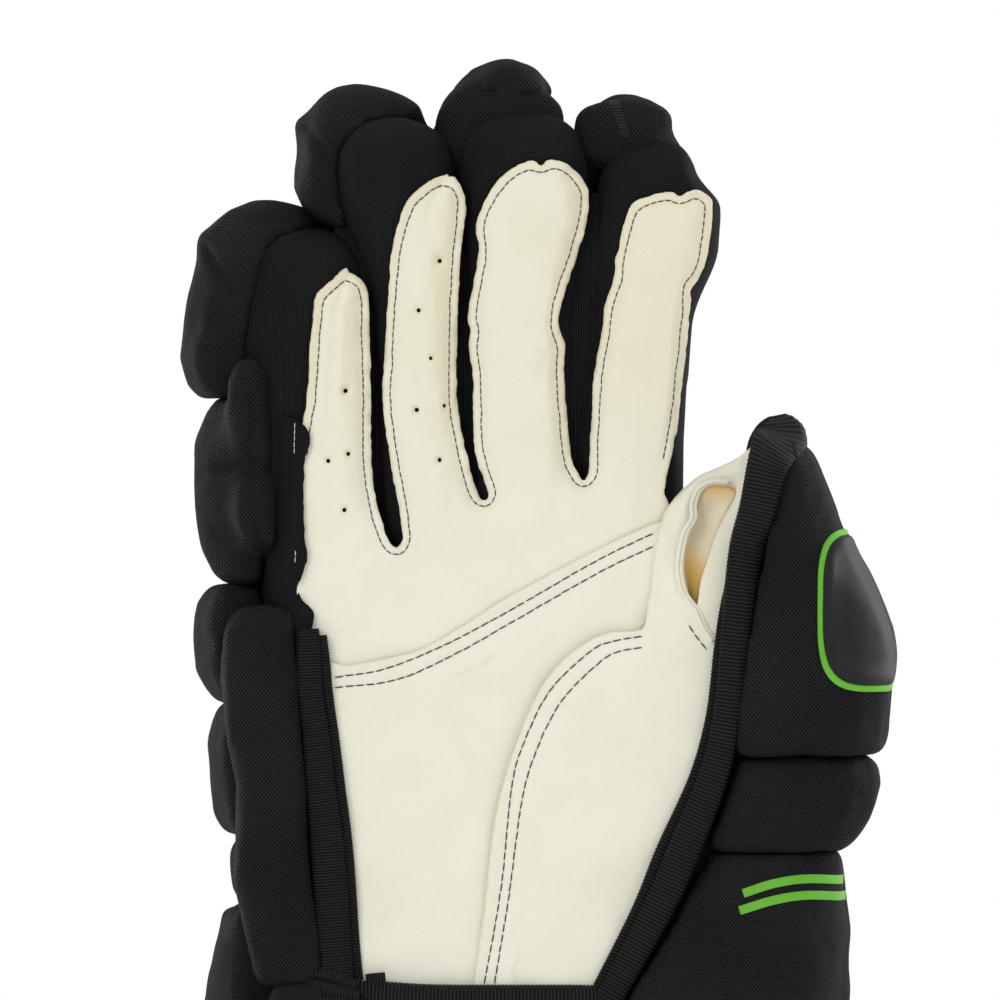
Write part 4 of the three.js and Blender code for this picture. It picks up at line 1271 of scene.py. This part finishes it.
SIDE_TAPE = [
    (-62.6, 202.5, -27.2, 3.1, 1.8), (-62.3, 194, -27.6, 3.5, 2.2), (-61.8, 185, -27.8, 3.5, 2.4),
    (-60.2, 172, -27.6, 3.9, 2.6), (-59, 160, -27.8, 4.1, 2.6), (-57.4, 146, -27.4, 4.5, 2.6),
    (-56.4, 133, -27.6, 4.7, 2.6), (-55.4, 120, -27.2, 4.5, 2.6), (-54, 104, -27, 4.2, 2.6),
]
SIDE_LIP = [
    (-58.6, 200.8, -27, 1.2, 0.8), (-57.9, 194, -27.2, 1.4, 0.9), (-57.1, 185, -27.2, 1.4, 0.9),
    (-55.3, 172, -27, 1.4, 0.9), (-53.9, 160, -27.2, 1.5, 0.9), (-52, 146, -26.8, 1.4, 0.9),
    (-50.9, 133, -26.8, 1.4, 0.9), (-50.1, 120, -26.4, 1.4, 0.9), (-49, 108, -26.2, 1.4, 0.9),
]
THUMB_TAPE = [
    (18, 102, -26.2, 3.6, 2.6), (31.3, 126.5, -27.6, 4.2, 3.0), (38.6, 143, -28.6, 4.5, 3.2),
    (46.4, 162.7, -30, 4.0, 3.3), (50.2, 179.1, -30.6, 3.8, 3.3), (52.1, 196.7, -30.9, 4.0, 3.3),
    (54.0, 213.7, -31.2, 4.5, 3.2), (55.8, 225, -31.4, 4.9, 3.0), (58.2, 235, -31.4, 5.0, 3.0),
    (60.3, 245, -31, 5.4, 3.6), (62.2, 249.6, -30, 6.4, 5.4), (64.2, 252.8, -28, 7.6, 7.4),
    (65, 255.6, -26, 6.8, 7.4), (64.9, 258.2, -25, 4.6, 5.6), (64.5, 260.2, -24.5, 1.6, 2.2),
]
HOOD_FROM = 204.0
THUMB_LIP = [
    (13.4, 102, -25.4, 1.3, 1.0), (25.9, 126.5, -26.6, 1.5, 1.1), (32.6, 143, -27.4, 1.5, 1.1),
    (41.4, 162.7, -28.6, 1.4, 1.1), (45.8, 179.1, -29.2, 1.3, 1.1), (47.8, 196.7, -29.6, 1.2, 1.1),
    (49.4, 208.3, -29.8, 1.1, 1.0), (51.4, 218, -30, 0.8, 0.9),
]
WRIST_TAPE = [
    (-51, 103.2, -26.2, 4.2, 2.6), (-46, 103.4, -26.6, 4.4, 2.8), (-30, 102.6, -25.6, 4.2, 2.8),
    (-10, 102.4, -24.8, 4.2, 2.8), (8, 102.4, -24.8, 4.2, 2.8), (19, 102.6, -25.6, 3.8, 2.6),
]

# Small tapes over the tape of the wrist: pleats at its end, and the tag.
SMALL_TAPES = {
    "pleat_1": [(-62.5, 110.4, -27, 1.6, 1.2), (-56, 109.2, -29, 1.7, 1.2), (-49.5, 106.6, -29.4, 1.5, 1.2)],
    "pleat_2": [(-64, 107.2, -27, 1.8, 1.2), (-57, 105.8, -29.4, 1.9, 1.3), (-48.5, 103.8, -29.8, 1.6, 1.3)],
    "pleat_3": [(-62, 103.6, -27, 1.8, 1.2), (-55, 102.2, -29.6, 1.9, 1.3), (-46, 101, -30, 1.6, 1.3)],
    "tag": [(-46.9, 108.2, -28.2, 1.5, 0.5), (-41.6, 108.7, -28.2, 1.5, 0.5)],
}
INDEX_TRIM = [(23.4, 334.8), (21.4, 340.6), (19.8, 345.2)]


def ribbed_tape(name, rows, pitch, relief, sides=16):
    """A flat tube of tape along a table's line, with raised ribs across it."""
    rows = curve_through(rows, pitch / 6 if relief else 0.6)
    centre = rows[:, :2]
    along = np.gradient(centre, axis=0)
    along /= np.linalg.norm(along, axis=1, keepdims=True)
    length = np.concatenate([[0], np.cumsum(np.linalg.norm(np.diff(centre, axis=0), axis=1))])
    swell = relief * np.cos(2 * math.pi * length / pitch)
    turn = np.linspace(0, 2 * math.pi, sides, endpoint=False)
    squared = np.maximum(np.abs(np.cos(turn)), np.abs(np.sin(turn))) ** -0.45
    points = []
    for (x, z, y, half_width, half_depth), (dx, dz), rib in zip(rows, along, swell):
        grow = rib * min(1.0, (5.0 / half_width) ** 3)
        out = (half_width + grow) * squared * np.cos(turn)
        deep = (half_depth + grow) * squared * np.sin(turn)
        points.extend(np.stack([x + out * dz, y + deep, z - out * dx], axis=1))
    piece = tube_piece(name, points, sides)
    write_attribute(piece, "rib", np.repeat(length, sides))
    return piece


class GLOVE_OT_bindings(bpy.types.Operator):
    """Bind the edges of the palm and the mouth of the cuff with ribbed tape"""

    bl_idname = "glove.bindings"
    bl_label = "Bindings"

    def execute(self, context):
        colours = context.scene.glove_colours
        tape = tape_finish(colours, "ribbed_tape", FINE_RIBS)
        wide = tape_finish(colours, "broad_rib_tape", BROAD_RIBS)
        cover = ground_of(bpy.data.objects["thumb_cover"])
        thumb_rows = [self.before(cover, row) for row in THUMB_TAPE]
        jobs = (
            ("side_tape", SIDE_TAPE, FINE_RIBS, tape, ("side_binding",)),
            ("side_tape_lip", SIDE_LIP, FINE_RIBS, tape, ()),
            ("thumb_tape", thumb_rows, BROAD_RIBS, wide, ("thumb_binding",)),
            ("thumb_tape_lip", THUMB_LIP, BROAD_RIBS, wide, ()),
            ("wrist_tape", WRIST_TAPE, BROAD_RIBS, wide, ("wrist_binding",)),
        )
        for name, rows, pitch, material, nodes in jobs:
            dress(ribbed_tape(name, rows, pitch, 0.12), material, "grosgrain_tape", *nodes)
        for name, rows in SMALL_TAPES.items():
            dress(ribbed_tape(name, rows, FINE_RIBS, 0.1), tape, "grosgrain_tape")
        cap = ground_of(bpy.data.objects["index_cap"])
        trim = laid_strip("index_trim", cap, INDEX_TRIM, 1.4, 0.4)
        write_attribute(trim, "rib", points_of(trim)[:, 2])
        dress(trim, tape, "grosgrain_tape")
        self.rim(wide)
        return {"FINISHED"}

    def before(self, cover, row):
        """A row of the thumb's tape, moved in front of the thumb's cover where it hoods it."""
        x, z, y, half_width, half_depth = row
        if z < HOOD_FROM:
            return row
        found = [probe(cover, x + share * half_width, z) for share in (-0.5, 0.0, 0.5, 0.95)]
        fronts = [front for front in found if front is not None]
        sunk = max(0.0, half_depth - 3.4) - 0.3
        return x, z, min([y, *[front + sunk for front in fronts]]), half_width, half_depth

    def rim(self, material):
        """The binding of the cuff's mouth, ribbed round its length."""
        piece = copy_of_node("cuff_rim", "cuff_tape")
        remesh_thin(piece, 1.5, 5)
        points = points_of(piece)
        angle = np.arctan2(points[:, 1] * 2, points[:, 0])
        write_attribute(piece, "rib", angle * 62.0)
        points[:, 2] -= points[:, 2].min()
        move_points(piece, points)
        dress(piece, material, "grosgrain_tape", "cuff_rim")


# Trim: the side patch with its stitches, the badge and the stripes.

# The badge is laid round the thumb: its middle is at an angle about an upright axis.
BADGE_AXIS = (62.0, -6.0)
BADGE_MIDDLE = (-44.0, 207.5)
BADGE_HALF = (8.6, 20.0)
BADGE_THICK = 1.5
STRIPES = [
    [(54.5, 131.5), (63, 134.2), (72, 135.4), (83.5, 134.6)],
    [(53.5, 126.9), (63, 129.8), (72, 131), (83.5, 130.2)],
]


def round_cover(ground, axis, angle, z):
    """The place and the normal on a cover, seen from outside at an angle about an upright axis."""
    out = np.array((math.cos(angle), math.sin(angle), 0.0))
    start = np.array((*axis, z)) + 70 * out
    place, normal, _, _ = ground.ray_cast(Vector(in_frame(start)), Vector(-out))
    return np.array(place) / MM - ORIGIN, np.array(normal)


def moulded_plate(name, ground, rings, half, middle, axis, radius):
    """A rounded plate that hugs a cover. Rings are rows of share of the outline and lift."""
    turn = np.linspace(0, 2 * math.pi, 72, endpoint=False)
    wide = np.sign(np.cos(turn)) * np.abs(np.cos(turn)) ** 0.55
    high = np.sign(np.sin(turn)) * np.abs(np.sin(turn)) ** 0.55
    points = []
    for share, lift in rings:
        for w, h in zip(wide, high):
            angle = math.radians(middle[0]) + (w * share * half[0]) / radius
            place, normal = round_cover(ground, axis, angle, middle[1] + h * share * half[1])
            points.append(place + normal * lift)
    return tube_piece(name, points, len(turn))


def laid_strip(name, ground, line, half_width, thickness):
    """A flat strip pressed against a cover from the palm's side."""
    rows = curve_through(line, 0.7)
    along = np.gradient(rows, axis=0)
    along /= np.linalg.norm(along, axis=1, keepdims=True)
    section = [(-1, -0.6), (-1, 0.7), (-0.8, 1), (0, 1), (0.8, 1), (1, 0.7), (1, -0.6)]
    points = []
    for (x, z), (dx, dz) in zip(rows, along):
        places = [(x + side * half_width * dz, z - side * half_width * dx) for side, _ in section]
        depths = [probe(ground, a, b) for a, b in places]
        if None not in depths:
            for (a, b), y, (_, lift) in zip(places, depths, section):
                points.append((a, y - lift * thickness, b))
    return tube_piece(name, points, len(section))


class GLOVE_OT_trim(bpy.types.Operator):
    """Add the side patch, the badge and the stripes"""

    bl_idname = "glove.trim"
    bl_label = "Trim"

    def execute(self, context):
        sewing = context.scene.glove_sewing
        colours = context.scene.glove_colours
        cloth = smooth_finish(colours, "side_suede")
        patch = cut_sheet("side_patch", SIDE_PATCH, sewing.cell / MM, side_profile, rough=0.35)
        thicken(patch, 1.0)
        dress(patch, cloth, "smooth_lining")
        declare_sheet(SIDE_PATCH)
        white = thread_finish((0.5, 0.5, 0.48), "white_thread")
        jobs = [(curve_through(row, SEAM_STEP), patch) for row in PATCH_STITCHES]
        stitches("patch_stitches", jobs, 1.7, 0.3, white, "smooth_lining")
        self.badge(colours)
        return {"FINISHED"}

    def badge(self, colours):
        """A plain moulded plate with a green rim on the thumb, and green stripes on the cuff."""
        rubber = rubber_finish(colours.badge, "badge_rubber")
        green = rubber_finish(colours.accent, "green_trim")
        thumb = ground_of(bpy.data.objects["thumb_cover"])
        rings = [(1.0, -0.5), (1.0, 0.9), (0.985, 1.25), (0.95, BADGE_THICK), (0.86, BADGE_THICK),
                 (0.83, 1.1), (0.6, 1.1), (0.3, 1.1), (0.05, 1.1)]
        plate = moulded_plate("badge_plate", thumb, rings, BADGE_HALF, BADGE_MIDDLE, BADGE_AXIS, 20.0)
        dress(plate, rubber, "badge_rubber", "thumb_badge")
        rings = [(1.09, -0.4), (1.09, 0.5), (1.075, 0.75), (1.02, 0.8), (1.0, 0.6), (1.0, -0.4)]
        rim = moulded_plate("badge_rim", thumb, rings, BADGE_HALF, BADGE_MIDDLE, BADGE_AXIS, 20.0)
        dress(rim, green, "badge_rubber")
        cuff = ground_of(bpy.data.objects["cuff_thumb_cover"])
        for number, line in enumerate(STRIPES):
            stripe = laid_strip(f"cuff_stripe_{number + 1}", cuff, line, 1.2, 0.5)
            dress(stripe, green, "badge_rubber")


# Stage. Rows of name, place, width and watts of the lights.

LIGHTS = (
    ("key_light", (-1100, -1700, 1300), 1300, 19),
    ("fill_light", (1500, -1300, 700), 1600, 8),
    ("left_rim_light", (-1300, 700, 500), 900, 13),
    ("right_rim_light", (1300, 800, 600), 900, 13),
    ("top_light", (0, 200, 1900), 1400, 9),
)
LIGHTS_AIM = (0, 0, 230)
ROOM_LIGHT = 0.42
WHITE = (1.0, 1.0, 1.0, 1.0)


def area_light(name, place, size, watts):
    """A soft light that points at the glove; its place is in millimetres."""
    bpy.ops.object.light_add(type="AREA", location=Vector(place) * MM)
    lamp = bpy.context.active_object
    lamp.name = name
    lamp.data.size = size * MM
    lamp.data.energy = watts
    way = (Vector(LIGHTS_AIM) - Vector(place)).to_track_quat("-Z", "Y")
    lamp.rotation_euler = way.to_euler()


class GLOVE_OT_stage(bpy.types.Operator):
    """Set the pale floor, the soft lights and the camera"""

    bl_idname = "glove.stage"
    bl_label = "Stage"

    def execute(self, context):
        deselect()
        bpy.ops.mesh.primitive_circle_add(vertices=96, radius=1.5, fill_type="NGON")
        floor = context.active_object
        floor.name = "floor"
        paper = Finish("paper", 0.9)
        grain = paper.noise(300.0, 2.0)
        paper.use(colour=paper.blend(grain, (0.93, 0.93, 0.925, 1), (0.95, 0.95, 0.945, 1)))
        floor.data.materials.append(paper.material)
        context.scene.world = self.studio()
        for name, place, size, watts in LIGHTS:
            area_light(name, place, size, watts)
        context.scene.view_settings.view_transform = "Standard"

        x, z = VIEW_CENTRE
        bpy.ops.object.camera_add(
            location=in_frame((x, PALM_FACE - VIEW_DISTANCE, z)), rotation=(math.pi / 2, 0, 0)
        )
        camera = context.active_object
        camera.name = "camera"
        camera.data.lens = camera.data.sensor_width * VIEW_DISTANCE / VIEW_WIDTH
        camera.data.clip_end = 50.0
        context.scene.camera = camera
        return {"FINISHED"}

    def studio(self):
        """A white room that lights the glove less than it shows."""
        world = bpy.data.worlds.new("studio")
        world.use_nodes = True
        tree = world.node_tree
        lit = tree.nodes["Background"]
        lit.inputs["Color"].default_value = WHITE
        lit.inputs["Strength"].default_value = ROOM_LIGHT
        seen = tree.nodes.new("ShaderNodeBackground")
        seen.inputs["Color"].default_value = WHITE
        path = tree.nodes.new("ShaderNodeLightPath")
        either = tree.nodes.new("ShaderNodeMixShader")
        tree.links.new(path.outputs["Is Camera Ray"], either.inputs["Fac"])
        tree.links.new(lit.outputs[0], either.inputs[1])
        tree.links.new(seen.outputs[0], either.inputs[2])
        tree.links.new(either.outputs[0], tree.nodes["World Output"].inputs["Surface"])
        return world


class GLOVE_PT_panel(bpy.types.Panel):
    """The glove's pieces"""

    bl_label = "Ice Hockey Glove"
    bl_space_type = "VIEW_3D"
    bl_region_type = "UI"
    bl_category = "Glove"

    def draw(self, context):
        for group in (context.scene.glove_colours, context.scene.glove_padding, context.scene.glove_sewing):
            for name in group.__annotations__:
                self.layout.prop(group, name)
        for operator in OPERATORS:
            self.layout.operator(operator.bl_idname)


GROUPS = {"glove_colours": GloveColours, "glove_padding": GlovePadding, "glove_sewing": GloveSewing}
OPERATORS = (
    GLOVE_OT_stage,
    GLOVE_OT_carriers,
    GLOVE_OT_stalls,
    GLOVE_OT_pads,
    GLOVE_OT_palm,
    GLOVE_OT_bindings,
    GLOVE_OT_trim,
)


def register():
    for kind in (*GROUPS.values(), *OPERATORS, GLOVE_PT_panel):
        bpy.utils.register_class(kind)
    for name, kind in GROUPS.items():
        setattr(bpy.types.Scene, name, PointerProperty(type=kind))


def unregister():
    for name in GROUPS:
        delattr(bpy.types.Scene, name)
    for kind in (GLOVE_PT_panel, *reversed(OPERATORS), *GROUPS.values()):
        bpy.utils.unregister_class(kind)


def main():
    register()
    deselect()
    bpy.ops.glove.stage()
    bpy.ops.glove.carriers()
    bpy.ops.glove.stalls()
    bpy.ops.glove.pads()
    bpy.ops.glove.palm()
    bpy.ops.glove.bindings()
    bpy.ops.glove.trim()
    deselect()


if __name__ == "__main__":
    main()
